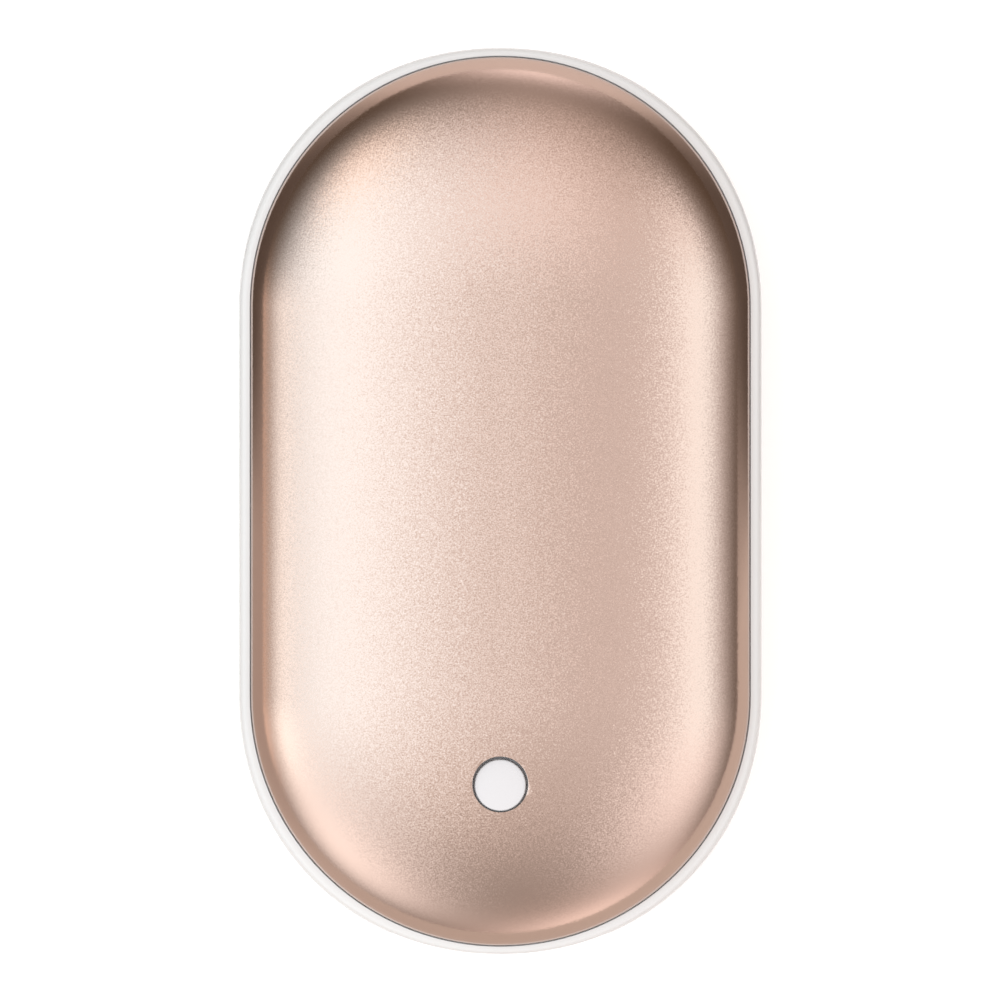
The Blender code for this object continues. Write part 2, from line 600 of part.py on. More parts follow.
def make_liners(plastic):
    """The liners bonded inside the rims of the shells, each with its hooks."""
    rise_share = liner_turn() / (math.pi / 2)
    shares = [rise_share * step / LINER_STEPS for step in range(LINER_STEPS + 1)]
    turn_over = Matrix.Translation((0.0, 0.0, CASE_THICKNESS)) @ Matrix.Scale(-1.0, 4, (0.0, 0.0, 1.0))
    for name, rear, hook_shares in (
        ("front_liner", False, FRONT_HOOK_SHARES),
        ("rear_liner", True, REAR_HOOK_SHARES),
    ):
        outer = [dome_ring(share, LINER_INSET, rear) for share in shares]
        inner = [dome_ring(share, LINER_INSET + LINER_THICKNESS, rear) for share in reversed(shares)]
        liner = make_piece(name, loft(outer + inner, closed=True), plastic)
        hooks = [hook(side, share * END_CENTRE) for side in (-1.0, 1.0) for share in hook_shares]
        together = joined(hooks)
        if rear:
            moved(together, turn_over)
        combine(liner, f"{name}_hooks", together, "UNION")


def make_cells(wrap):
    """Two cylindrical cells side by side, their positive ends towards the board."""
    shoulder = CELL_LENGTH - TERMINAL_HEIGHT
    groove = 4 * TERMINAL_HEIGHT
    chamfer = TERMINAL_HEIGHT / 2
    profile = (
        (0.0, 0.0),
        (CELL_RADIUS - chamfer, 0.0),
        (CELL_RADIUS, chamfer),
        (CELL_RADIUS, shoulder - groove - 2 * chamfer),
        (CELL_RADIUS - chamfer, shoulder - groove - chamfer),
        (CELL_RADIUS - chamfer, shoulder - groove),
        (CELL_RADIUS, shoulder - groove + chamfer),
        (CELL_RADIUS, shoulder - chamfer),
        (CELL_RADIUS - chamfer, shoulder),
        (TERMINAL_DIAMETER / 2, shoulder),
        (TERMINAL_DIAMETER / 2, CELL_LENGTH),
        (0.0, CELL_LENGTH),
    )
    for name, side in (("cell_left", -1.0), ("cell_right", 1.0)):
        place = (side * CELL_X, CELL_END_Y, MIDDLE)
        make_piece(name, turned(profile, CELL_STEPS), wrap, place, (math.pi / 2, 0.0, 0.0))


def make_cradle(plastic):
    """The open frame that holds the cells by their lower halves, with an ear at each screw."""
    half_width, back = CRADLE_HALF_WIDTH, CRADLE_END_Y
    front = BOARD_BACK_Y + GAP
    top = MIDDLE + CRADLE_RISE
    cut = CRADLE_CORNER_CUT
    outline = (
        (half_width, front + cut), (half_width, back - cut), (half_width - cut, back),
        (cut - half_width, back), (-half_width, back - cut), (-half_width, front + cut),
        (cut - half_width, front), (half_width - cut, front),
    )
    cradle = make_piece("cell_cradle", extruded(outline, top - CRADLE_HEIGHT, top), plastic)
    ear_bottom = LUG_TOP + GAP
    ears = []
    for frame in screw_frames():
        screw_radius = INSIDE_RADIUS - LUG_INSET
        root = half_width - CRADLE_WALL / 2
        ear = tongue(root, screw_radius, EAR_RADIUS, ear_bottom, ear_bottom + EAR_THICKNESS)
        ears.append(moved(ear, frame))
    combine(cradle, "cradle_ears", joined(ears), "UNION")
    trough_front, trough_back = front + CRADLE_END_WALL, back - CRADLE_END_WALL
    for side, name in ((-1.0, "left_trough"), (1.0, "right_trough")):
        trough = rod(CELL_RADIUS + GAP, trough_front, trough_back, CELL_STEPS)
        place = Matrix.Translation((side * CELL_X, 0.0, MIDDLE)) @ LIE_ALONG_Y
        combine(cradle, name, moved(trough, place), "DIFFERENCE")
    openings = []
    for near, far in ((trough_front, CELL_FRONT_Y), (CELL_END_Y, trough_back)):
        openings.append(slab(
            (-STRIP_WIDTH / 2 - GAP, near, MIDDLE - STRIP_HEIGHT / 2 - GAP),
            (STRIP_WIDTH / 2 + GAP, far, top + OVERRUN),
        ))
    for frame in screw_frames():
        hole = rod(SCREW_DIAMETER / 2 + GAP, LUG_TOP, ear_bottom + EAR_THICKNESS + GAP)
        openings.append(moved(hole, frame @ Matrix.Translation((INSIDE_RADIUS - LUG_INSET, 0.0, 0.0))))
    combine(cradle, "cradle_openings", joined(openings), "DIFFERENCE")


def make_strips(nickel):
    """The nickel strips on the cells' ends; the front one is folded over the cradle to the board."""
    face = CELL_FRONT_Y - GAP
    back = face - STRIP_THICKNESS
    low, high = MIDDLE - STRIP_HEIGHT / 2, MIDDLE + STRIP_HEIGHT / 2
    plate = slab((-STRIP_WIDTH / 2, back, low), (STRIP_WIDTH / 2, face, high))
    positive = make_piece("positive_strip", plate, nickel)
    far = BOARD_BACK_Y
    fold = MIDDLE + CRADLE_RISE + GAP + STRIP_THICKNESS
    profile = (
        (face, low + STRIP_THICKNESS), (face, fold), (far - STRIP_THICKNESS, fold),
        (far - STRIP_THICKNESS, PARTS_HEIGHT), (far, PARTS_HEIGHT), (far, fold - STRIP_THICKNESS),
        (back, fold - STRIP_THICKNESS), (back, low + STRIP_THICKNESS),
    )
    leg = extruded(profile, STRIP_TAB_WIDTH - STRIP_WIDTH / 2, STRIP_THICKNESS - STRIP_WIDTH / 2)
    combine(positive, "positive_tab", moved(leg, LIE_ALONG_X), "UNION")
    near = CELL_END_Y + GAP
    plate = slab((-STRIP_WIDTH / 2, near, low), (STRIP_WIDTH / 2, near + STRIP_THICKNESS, high))
    negative = make_piece("negative_strip", plate, nickel)
    reach = lead_valley(CELL_LEAD_DIAMETER) + CELL_LEAD_DIAMETER
    tab = slab(
        (-CELL_LEAD_DIAMETER, near, MIDDLE),
        (CELL_LEAD_DIAMETER, near + STRIP_THICKNESS, MIDDLE + reach),
    )
    combine(negative, "negative_tab", tab, "UNION")


def lead_valley(diameter):
    """How far from the middle a lead lies in the valley between the cells, clear of both."""
    clear = CELL_RADIUS + diameter / 2 + GAP
    return math.sqrt(clear ** 2 - CELL_X ** 2)


def make_screws(steel):
    """Four screws that hold the cradle to the band, and two that hold the board."""
    head, shank = SCREW_HEAD_DIAMETER / 2, SCREW_DIAMETER / 2
    crown = SCREW_HEAD_HEIGHT
    profile = ((0.0, -SCREW_LENGTH), (shank, -SCREW_LENGTH), (shank, 0.0), (head, 0.0),
               (head, crown / 2), (head - crown / 2, crown), (0.0, crown))
    seat = LUG_TOP + EAR_THICKNESS + 2 * GAP
    for number, frame in enumerate(screw_frames(), 1):
        place = frame @ Vector((INSIDE_RADIUS - LUG_INSET, 0.0, seat))
        make_piece(f"cradle_screw_{number}", turned(profile, SMALL_ROUND_STEPS), steel, place)
    for name, frame in zip(("board_screw_right", "board_screw_left"), board_screw_frames()):
        place = frame @ Vector((INSIDE_RADIUS - BOARD_LUG_INSET, 0.0, PARTS_HEIGHT))
        make_piece(name, turned(profile, SMALL_ROUND_STEPS), steel, place)


def make_board(laminate):
    """The charging board, round where it follows the band and straight along the cradle."""
    radius = INSIDE_RADIUS - BOARD_EDGE_GAP
    start = math.asin((BOARD_BACK_Y + END_CENTRE) / radius)
    sweep = math.pi + 2 * start
    outline = []
    for step in range(END_STEPS + 1):
        turn = start - sweep * step / END_STEPS
        outline.append((radius * math.cos(turn), radius * math.sin(turn) - END_CENTRE))
    board = make_piece("main_board", extruded(outline, BOARD_TOP - BOARD_THICKNESS, BOARD_TOP), laminate)
    holes = []
    for frame in board_screw_frames():
        hole = rod(SCREW_DIAMETER / 2 + GAP, BOARD_TOP - BOARD_THICKNESS - OVERRUN, BOARD_TOP + OVERRUN)
        holes.append(moved(hole, frame @ Matrix.Translation((INSIDE_RADIUS - BOARD_LUG_INSET, 0.0, 0.0))))
    combine(board, "board_holes", joined(holes), "DIFFERENCE")


def port_can(width, height, depth, lower_corner):
    """A port's folded metal can, open at the front, with its lowest edge at the local origin."""
    outline = (
        (-width / 2 + lower_corner, 0.0), (width / 2 - lower_corner, 0.0), (width / 2, lower_corner),
        (width / 2, height), (-width / 2, height), (-width / 2, lower_corner),
    )
    if lower_corner == 0.0:
        outline = outline[0:2] + outline[3:5]
    can = moved(extruded(outline, 0.0, depth), LIE_ALONG_Y)
    mouth = min(can.faces, key=lambda face: face.calc_center_median().y)
    bmesh.ops.recalc_face_normals(can, faces=can.faces)
    bmesh.ops.inset_region(can, faces=[mouth], thickness=USB_WALL, use_even_offset=True)
    pushed = bmesh.ops.extrude_discrete_faces(can, faces=[mouth])["faces"][0]
    bmesh.ops.translate(can, vec=(0.0, depth - USB_WALL, 0.0), verts=pushed.verts)
    return can


def port_insert(width, height, depth, thickness, low):
    """A port's insulating insert: a block that closes the can's back, and its contact tongue."""
    front = USB_TONGUE_SETBACK
    back = depth - USB_WALL - GAP
    block = back - USB_HOUSING_DEPTH
    profile = (
        (front, low), (block, low), (block, 0.0), (back, 0.0), (back, height), (block, height),
        (block, low + thickness), (front, low + thickness),
    )
    return moved(extruded(profile, -width / 2, width / 2), LIE_ALONG_X)


def make_ports(steel, black):
    """The output and input ports, each a metal can with an insert."""
    inside = USB_WALL + GAP
    full = USB_A_HEIGHT - 2 * inside
    place = (USB_A_CENTRE_X, BAY_FLOOR_Y, PARTS_HEIGHT)
    make_piece("usb_a_shell", port_can(USB_A_WIDTH, USB_A_HEIGHT, USB_A_DEPTH, 0.0), steel, place)
    tongue_width = USB_A_WIDTH - 2 * USB_A_TONGUE_MARGIN
    insert = port_insert(tongue_width, full, USB_A_DEPTH, USB_A_TONGUE_THICKNESS, full / 2)
    make_piece("usb_a_tongue", insert, black, (USB_A_CENTRE_X, BAY_FLOOR_Y, PARTS_HEIGHT + inside))
    full = USB_MICRO_HEIGHT - 2 * inside
    corner = USB_MICRO_HEIGHT / 3
    place = (USB_MICRO_CENTRE_X, BAY_FLOOR_Y, PARTS_HEIGHT)
    can = port_can(USB_MICRO_WIDTH, USB_MICRO_HEIGHT, USB_MICRO_DEPTH, corner)
    make_piece("micro_usb_shell", can, steel, place)
    tongue_low = (full - USB_MICRO_TONGUE_THICKNESS) / 2
    thickness = USB_MICRO_TONGUE_THICKNESS
    tongue_width = USB_MICRO_WIDTH - 2 * USB_MICRO_TONGUE_MARGIN
    insert = port_insert(tongue_width, full, USB_MICRO_DEPTH, thickness, tongue_low)
    place = (USB_MICRO_CENTRE_X, BAY_FLOOR_Y, PARTS_HEIGHT + inside)
    make_piece("micro_usb_tongue", insert, black, place)


def guide_radius():
    """The outside of the button's guide."""
    return BUTTON_FLANGE_DIAMETER / 2 + SLIDE_CLEARANCE + GUIDE_WALL


def make_button(cap_plastic, black, steel):
    """The button in its guide, and the switch under it with its plunger."""
    switch_top = PARTS_HEIGHT + SWITCH_HEIGHT
    plunger_top = switch_top + GAP + SWITCH_COVER_THICKNESS + PLUNGER_RISE
    flange_radius = BUTTON_FLANGE_DIAMETER / 2
    flange_top = dome_height(BUTTON_Y - flange_radius, SHELL_WALL) - GAP
    flange_bottom = flange_top - BUTTON_FLANGE_THICKNESS
    cap_radius = BUTTON_DIAMETER / 2
    cap_top = dome_height(BUTTON_Y - cap_radius, 0.0) - BUTTON_RECESS
    profile = (
        (0.0, plunger_top + GAP), (STEM_DIAMETER / 2, plunger_top + GAP), (STEM_DIAMETER / 2, flange_bottom),
        (flange_radius, flange_bottom), (flange_radius, flange_top), (cap_radius, flange_top),
        (cap_radius, cap_top - BUTTON_EDGE), (cap_radius - BUTTON_EDGE, cap_top), (0.0, cap_top),
    )
    profile = [(radius, height - cap_top) for radius, height in profile]
    make_piece("button_cap", turned(profile), cap_plastic, (0.0, BUTTON_Y, cap_top))

    bore = flange_radius + SLIDE_CLEARANCE
    floor_top = flange_bottom - BUTTON_TRAVEL - GAP
    stem_bore = STEM_DIAMETER / 2 + SLIDE_CLEARANCE
    profile = (
        (stem_bore, floor_top - GUIDE_FLOOR), (guide_radius(), floor_top - GUIDE_FLOOR),
        (guide_radius(), CASE_THICKNESS), (bore, CASE_THICKNESS), (bore, floor_top),
        (stem_bore, floor_top),
    )
    guide = make_piece("button_guide", turned(profile, closed=True), black, (0.0, BUTTON_Y, 0.0))
    shares = [step / DOME_STEPS for step in range(DOME_STEPS + 1)]
    hollow = loft([dome_ring(share, SHELL_WALL + GAP) for share in shares])
    combine(guide, "shell_hollow", hollow, "INTERSECT")

    body = slab(
        (-SWITCH_SIDE / 2, -SWITCH_SIDE / 2, 0.0),
        (SWITCH_SIDE / 2, SWITCH_SIDE / 2, SWITCH_HEIGHT),
    )
    body = make_piece("switch_body", body, black, (0.0, BUTTON_Y, PARTS_HEIGHT))
    well_radius = PLUNGER_DIAMETER / 2 + SLIDE_CLEARANCE
    well_floor = switch_top - PLUNGER_DEPTH - BUTTON_TRAVEL - GAP
    at_button = Matrix.Translation((0.0, BUTTON_Y, 0.0))
    well = moved(rod(well_radius, well_floor, switch_top + OVERRUN), at_button)
    combine(body, "plunger_well", well, "DIFFERENCE")
    cover = slab(
        (-SWITCH_SIDE / 2, -SWITCH_SIDE / 2, 0.0),
        (SWITCH_SIDE / 2, SWITCH_SIDE / 2, SWITCH_COVER_THICKNESS),
    )
    cover = make_piece("switch_cover", cover, steel, (0.0, BUTTON_Y, switch_top + GAP))
    opening = moved(rod(well_radius, switch_top, plunger_top), at_button)
    combine(cover, "plunger_opening", opening, "DIFFERENCE")
    plunger = rod(PLUNGER_DIAMETER / 2, switch_top - PLUNGER_DEPTH - plunger_top, 0.0, ROUND_STEPS)
    make_piece("switch_plunger", plunger, black, (0.0, BUTTON_Y, plunger_top))


def make_lights(clear):
    """The lamp beside the switch, the four charge lights and the comb in front of them."""
    light = slab(
        (-LIGHT_WIDTH / 2, -LIGHT_DEPTH / 2, 0.0),
        (LIGHT_WIDTH / 2, LIGHT_DEPTH / 2, BUTTON_LIGHT_HEIGHT),
    )
    make_piece("button_light", light, clear, (BUTTON_LIGHT_X, BUTTON_Y, PARTS_HEIGHT))
    board_edge = INSIDE_RADIUS - BOARD_EDGE_GAP
    for number, turn in enumerate(light_turns(), 1):
        light = slab(
            (board_edge - LIGHT_DEPTH, -LIGHT_WIDTH / 2, PARTS_HEIGHT),
            (board_edge, LIGHT_WIDTH / 2, PARTS_HEIGHT + LIGHT_HEIGHT),
        )
        make_piece(f"charge_light_{number}", light, clear, (0.0, -END_CENTRE, 0.0), (0.0, 0.0, turn))
    wall_inside = CASE_WIDTH / 2 - BAND_WALL - GAP
    first = light_turns()[0] - COMB_MARGIN_TURN
    sweep = light_turns()[-1] + COMB_MARGIN_TURN - first
    outline = []
    for radius, forward in ((board_edge + GAP, True), (wall_inside, False)):
        for step in range(2 * ARC_STEPS + 1):
            turn = first + sweep * (step if forward else 2 * ARC_STEPS - step) / (2 * ARC_STEPS)
            outline.append((radius * math.cos(turn), radius * math.sin(turn) - END_CENTRE))
    comb = extruded(outline, MIDDLE - COMB_HEIGHT / 2, MIDDLE + COMB_HEIGHT / 2)
    comb = make_piece("light_comb", comb, clear)
    pins = []
    lift = Matrix.Translation((0.0, 0.0, MIDDLE))
    for turn in light_turns():
        pin = rod(PIN_DIAMETER / 2, wall_inside - OVERRUN, CASE_WIDTH / 2 - PIN_SETBACK - GAP)
        pins.append(moved(pin, about(-END_CENTRE, turn) @ lift @ LIE_ALONG_X))
    combine(comb, "comb_pins", joined(pins), "UNION")


def sensor_top():
    """How high the sensor reaches, just under the front heater."""
    return dome_height(SENSOR_Y + SENSOR_LENGTH, SHELL_WALL + GAP + HEATER_THICKNESS) - GAP


def make_heaters(film, board, bead):
    """The film heaters inside both shells, the boards that keep the cells off them, and the sensor."""
    inset = SHELL_WALL + GAP
    sheet = domed_sheet(inset, HEATER_THICKNESS, HEATER_EDGE_SHARE, HEATER_STEPS)
    front = make_piece("front_heater", sheet, film)
    cut = slab(
        (-CASE_WIDTH / 2, -CASE_LENGTH / 2, MIDDLE),
        (CASE_WIDTH / 2, HEATER_CUT_Y, CASE_THICKNESS + OVERRUN),
    )
    combine(front, "heater_notch", cut, "DIFFERENCE")
    rear = domed_sheet(inset, HEATER_THICKNESS, HEATER_EDGE_SHARE, HEATER_STEPS, rear=True)
    make_piece("rear_heater", rear, film)
    near = CELL_RADIUS + GAP
    for name, low in (
        ("front_insulator", MIDDLE + near),
        ("rear_insulator", MIDDLE - near - INSULATOR_THICKNESS),
    ):
        sheet = rounded_box(INSULATOR_WIDTH, INSULATOR_LENGTH, INSULATOR_CORNER, 0.0, INSULATOR_THICKNESS)
        make_piece(name, sheet, board, (0.0, INSULATOR_CENTRE_Y, low))
    sensor = rounded_box(SENSOR_WIDTH, SENSOR_LENGTH, SENSOR_WIDTH / 3, -SENSOR_HEIGHT, 0.0)
    make_piece("temperature_sensor", sensor, bead, (0.0, SENSOR_Y, sensor_top()))


def make_board_parts(ferrite, black):
    """The coil and the control chip on the board."""
    coil = rounded_box(COIL_SIDE, COIL_SIDE, COIL_CORNER, 0.0, COIL_HEIGHT)
    make_piece("boost_coil", coil, ferrite, (COIL_X, COIL_Y, PARTS_HEIGHT))
    chip = slab((-CHIP_WIDTH / 2, -CHIP_LENGTH / 2, 0.0), (CHIP_WIDTH / 2, CHIP_LENGTH / 2, CHIP_HEIGHT))
    make_piece("control_chip", chip, black, (CHIP_X, CHIP_Y, PARTS_HEIGHT))


def smooth_route(stops, spacing):
    """Points about evenly spaced on a smooth curve through the stops."""
    stops = [Vector(stop) for stop in stops]
    ends = [2 * stops[0] - stops[1], *stops, 2 * stops[-1] - stops[-2]]
    route = []
    for before, start, end, after in zip(ends, ends[1:], ends[2:], ends[3:]):
        count = max(1, round((end - start).length / spacing))
        for step in range(count):
            share = step / count
            bend = 2 * before - 5 * start + 4 * end - after
            twist = 3 * (start - end) + after - before
            route.append(start + (share * (end - before) + share ** 2 * bend + share ** 3 * twist) / 2)
    route.append(stops[-1])
    return route


def make_lead(name, stops, diameter, material):
    """A round lead along a smooth route."""
    route = smooth_route(stops, 2.5 * diameter)
    curve = bpy.data.curves.new(name, "CURVE")
    curve.dimensions = "3D"
    curve.bevel_depth = diameter / 2
    curve.bevel_resolution = 2
    curve.use_fill_caps = True
    spline = curve.splines.new("POLY")
    spline.points.add(len(route) - 1)
    for point, place in zip(spline.points, route):
        point.co = (*place, 1.0)
    curve.materials.append(material)
    bpy.context.collection.objects.link(bpy.data.objects.new(name, curve))


def bends(anchor, shares, end_height=None, climb=LEAD_BEND):
    """Stops round a lead's bends, measured from one point, then straight up or down to its end."""
    reach = Vector((LEAD_BEND, LEAD_BEND, climb))
    stops = [Vector(anchor) + reach * Vector(share) for share in shares]
    if end_height is not None:
        stops.append(Vector((stops[-1].x, stops[-1].y, end_height)))
    return stops


def make_leads(red, black, white):
    """The leads from the far strip, the heaters and the sensor to the board."""
    cell = MIDDLE + lead_valley(CELL_LEAD_DIAMETER)
    far = ((0.0, CELL_END_Y, cell), (0.0, CELL_END_Y - 4 * LEAD_BEND, cell), (0.0, 0.0, cell))
    near = bends((0.0, BOARD_BACK_Y, cell), CELL_LEAD_SHARES, PARTS_HEIGHT)
    make_lead("cell_lead", [*far, *near], CELL_LEAD_DIAMETER, black)

    beside_guide = guide_radius() + HEATER_LEAD_GAP + HEATER_LEAD_DIAMETER / 2
    heater = dome_height(0.0, SHELL_WALL + GAP + HEATER_THICKNESS) - GAP - HEATER_LEAD_DIAMETER / 2
    stops = bends((-beside_guide, HEATER_CUT_Y, heater), FRONT_LEAD_SHARES, PARTS_HEIGHT)
    make_lead("front_heater_lead", stops, HEATER_LEAD_DIAMETER, red)

    below_cell = MIDDLE - CELL_RADIUS - REAR_LEAD_DROP
    anchor = (CELL_X + REAR_LEAD_OFFSET, BOARD_BACK_Y, below_cell)
    board_bottom = BOARD_TOP - BOARD_THICKNESS - GAP
    stops = bends(anchor, REAR_LEAD_SHARES, board_bottom, board_bottom - below_cell)
    make_lead("rear_heater_lead", stops, HEATER_LEAD_DIAMETER, red)

    lead = cell + (CELL_LEAD_DIAMETER + SENSOR_LEAD_DIAMETER) / 2 + GAP
    sensor = (0.0, SENSOR_Y - SENSOR_LENGTH / 2 - GAP, sensor_top() - SENSOR_HEIGHT * SENSOR_LEAD_SHARE)
    over = ((0.0, sensor[1] - 6 * LEAD_BEND, lead), (0.0, 0.0, lead))
    fall = bends((0.0, BOARD_BACK_Y, lead), SENSOR_LEAD_FALL_SHARES, PARTS_HEIGHT)
    stops = [*bends(sensor, SENSOR_LEAD_RISE_SHARES), *over, *fall]
    make_lead("sensor_lead", stops, SENSOR_LEAD_DIAMETER, white)


def main():
    """Clear the scene and build every piece."""
    for item in list(bpy.data.objects):
        bpy.data.objects.remove(item, do_unlink=True)
    metal = make_material("anodised_shell", (0.68, 0.49, 0.42), 0.34, 1.0)
    white = make_material("white_plastic", (0.83, 0.83, 0.82), 0.30)
    black = make_material("black_plastic", (0.03, 0.03, 0.03), 0.45)
    clear = make_material("milky_plastic", (0.86, 0.86, 0.86), 0.25)
    steel = make_material("bright_steel", (0.62, 0.62, 0.60), 0.25, 1.0)
    nickel = make_material("nickel", (0.66, 0.63, 0.57), 0.28, 1.0)
    wrap = make_material("cell_wrap", (0.03, 0.22, 0.42), 0.30)
    laminate = make_material("board_laminate", (0.02, 0.20, 0.08), 0.40)
    film = make_material("heater_film", (0.55, 0.25, 0.04), 0.30)
    fibre = make_material("insulating_board", (0.60, 0.57, 0.48), 0.80)
    red = make_material("red_lead", (0.55, 0.03, 0.02), 0.40)
    make_band(white)
    make_shells(metal)
    make_liners(black)
    make_cells(wrap)
    make_cradle(black)
    make_strips(nickel)
    make_screws(steel)
    make_board(laminate)
    make_ports(steel, black)
    make_button(clear, black, steel)
    make_lights(clear)
    make_heaters(film, fibre, black)
    make_board_parts(black, black)
    make_leads(red, black, white)


main()
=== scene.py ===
"""How the rechargeable hand warmer looks: finer shells, band, button and ports round its frame, and its stage."""

import math

import bmesh
import bpy
from mathutils import Matrix, Vector


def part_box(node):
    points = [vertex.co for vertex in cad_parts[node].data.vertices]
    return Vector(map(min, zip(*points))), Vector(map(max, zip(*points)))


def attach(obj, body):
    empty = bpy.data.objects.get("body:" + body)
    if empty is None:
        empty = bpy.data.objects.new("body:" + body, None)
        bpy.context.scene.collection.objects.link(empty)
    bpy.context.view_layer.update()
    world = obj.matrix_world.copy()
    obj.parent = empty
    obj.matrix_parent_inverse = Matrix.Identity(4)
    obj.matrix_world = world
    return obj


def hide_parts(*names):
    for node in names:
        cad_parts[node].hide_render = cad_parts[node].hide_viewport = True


bl_info = {
    "name": "Rechargeable hand warmer",
    "version": (1, 0, 0),
    "blender": (4, 5, 0),
    "location": "3D view > Sidebar > Hand warmer",
    "description": "Builds the finer pieces, the finishes and the stage of a rechargeable hand warmer",
    "category": "Object",
}

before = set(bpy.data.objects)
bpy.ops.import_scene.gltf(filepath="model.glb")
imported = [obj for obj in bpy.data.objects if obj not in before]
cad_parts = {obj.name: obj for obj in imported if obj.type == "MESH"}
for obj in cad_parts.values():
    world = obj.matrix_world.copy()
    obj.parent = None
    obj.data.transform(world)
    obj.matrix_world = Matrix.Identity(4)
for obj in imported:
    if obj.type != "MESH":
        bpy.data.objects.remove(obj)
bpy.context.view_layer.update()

SHELL_LOW, SHELL_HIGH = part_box("front_shell")
BAND_LOW, BAND_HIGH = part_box("mid_band")
CAP_LOW, CAP_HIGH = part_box("button_cap")
COMB_LOW, COMB_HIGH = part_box("light_comb")
USB_A_LOW, USB_A_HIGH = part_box("usb_a_shell")
MICRO_LOW, MICRO_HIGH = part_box("micro_usb_shell")

# The case, as the frame has it
CASE_THICKNESS = SHELL_HIGH.z
MIDDLE = CASE_THICKNESS / 2
RIM_HEIGHT = SHELL_LOW.z
SHELL_HALF_WIDTH = SHELL_HIGH.x
SHELL_HALF_LENGTH = SHELL_HIGH.y
END_CENTRE = SHELL_HALF_LENGTH - SHELL_HALF_WIDTH
BAND_HALF_WIDTH = BAND_HIGH.x
BAND_HALF_LENGTH = BAND_HIGH.y
CROWN_HALF_WIDTH = 0.0010
CROWN_HALF_LENGTH = 0.0240
CROWN_SHARES = (0.7, 0.4, 0.1)
ROUND_POWER = 2.0
CASE_POWER = 2.08
BAND_POWER = 4.0
BAND_HEIGHT = 0.0090
SHELL_WALL = 0.0008
SEAM = 0.0001
GAP = 0.0003

# The band's section, as insets from the shells' edge and rises from the middle
GROOVE_RISE = RIM_HEIGHT - GAP - MIDDLE
LIP_RISE = BAND_HIGH.z - MIDDLE
FLANGE_RISE = GROOVE_RISE - 0.0017
LIP_OUTER_INSET = 0.00265
LIP_INNER_INSET = 0.00355
CHANNEL_INSET = 0.0004

# The port bay
BAY_HALF_WIDTH = 0.0126
BAY_HALF_HEIGHT = 0.00345
BAY_FLOOR_Y = USB_A_LOW.y
BAY_BACK_Y = BAY_FLOOR_Y + 0.0021
BAY_FILLET = 0.0003
# The block of plastic behind the bay: how far it stays inside the band's face and its grooves
BAY_BLOCK_SETBACK = 0.0009
BAY_BLOCK_MARGIN = 0.0004
OVERRUN = 0.0010

# The button
BUTTON_Y = (CAP_LOW.y + CAP_HIGH.y) / 2
CAP_RADIUS = 0.00295
BORE_RADIUS = 0.00320
STEM_RADIUS = 0.0013
CAP_SHIFT = -0.00008
# The bore's chamfer: its fall for its width, and how many widths its cutter reaches past it
CHAMFER_FALL = 0.4
CHAMFER_REACH = 4

# The charge lights
LIGHT_TURNS = []
for number in range(1, 5):
    light_middle = sum(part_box(f"charge_light_{number}"), Vector()) / 2
    LIGHT_TURNS.append(math.atan2(light_middle.y + END_CENTRE, light_middle.x))
WINDOW_RADIUS = 0.0009
WINDOW_DEPTH = 0.003
WINDOW_BEVEL_WIDTH = 0.0003
WINDOW_BEVEL_DEPTH = 0.00012
WINDOW_BEVEL_RISE = 0.00018
PIN_RADIUS = 0.00078
PIN_CROWN = 0.00015
PIN_END_RADIUS = 0.0296
COMB_INNER_RADIUS = 0.0250
COMB_OUTER_RADIUS = 0.0279
COMB_MARGIN = math.radians(2.6)

# The ports
PORT_HOLE_CORNERS = (0.0005,) * 4
USB_A_CORNERS = (0.0005,) * 4
MICRO_CORNERS = (0.0004, 0.0004, 0.0009, 0.0009)
CAN_WALL = 0.0003
CAN_MOUTH_RADIUS = 0.00008
CAN_MOUTH_SEGMENTS = 2
SPRING_OFFSET = 0.0034
SPRING_WIDTH = 0.0018
SPRING_THICKNESS = 0.0002
# The spring's path: how far in from the mouth, and how far it dips there
SPRING_PATH = ((0.0006, 0.0), (0.0034, 0.00042), (0.0040, 0.00042), (0.0047, 0.00022))
INSERT_BACK = 0.0016
# Each tongue: its underside's share of the insert's height, and its thickness, whose sixth rounds its edge
USB_A_TONGUE = (0.5, 0.0018)
MICRO_TONGUE = (2 / 7, 0.0006)
TONGUE_EDGE_PARTS = 6
# Each row of contacts: how many, their pitch, width and length
USB_A_CONTACTS = (4, 0.00233, 0.0010, 0.0060)
MICRO_CONTACTS = (5, 0.00065, 0.00034, 0.0022)
MICRO_CONTACT_RISE = 0.0004
CONTACT_SETBACK = 0.0004
CONTACT_PROUD = 0.00007

# The stage: the camera straight above, and the floor under the rear crown
CAMERA_DISTANCE = 1.8
CLIP_RATIO = 100
SENSOR_WIDTH = 36.0
VIEW_WIDTH = 0.11484
VIEW_CENTRE = (-0.00003, 0.00014)
FLOOR_SIZE = 6.0
FLOOR_HEIGHT = -0.00005
FLOOR_COLOUR = (0.80, 0.80, 0.80)
FLOOR_ROUGHNESS = 0.8
FLOOR_GLOW = 0.5
# The card's foot and top edge: how far out from the band, and how high.
CARD_FOOT = (0.008, 0.0005)
CARD_TOP = (0.070, 0.024)
CARD_COLOUR = (0.80, 0.71, 0.65)
CARD_ROUGHNESS = 0.9
# Patches of the card: the turn from +X of each, how far it reaches to both sides, and its colour.
CARD_PATCHES = (
    (190, 50, (0.60, 0.51, 0.46)),
    (30, 43, (0.12, 0.09, 0.07)),
    (145, 40, (0.12, 0.09, 0.07)),
    (87, 30, (0.92, 0.84, 0.80)),
)
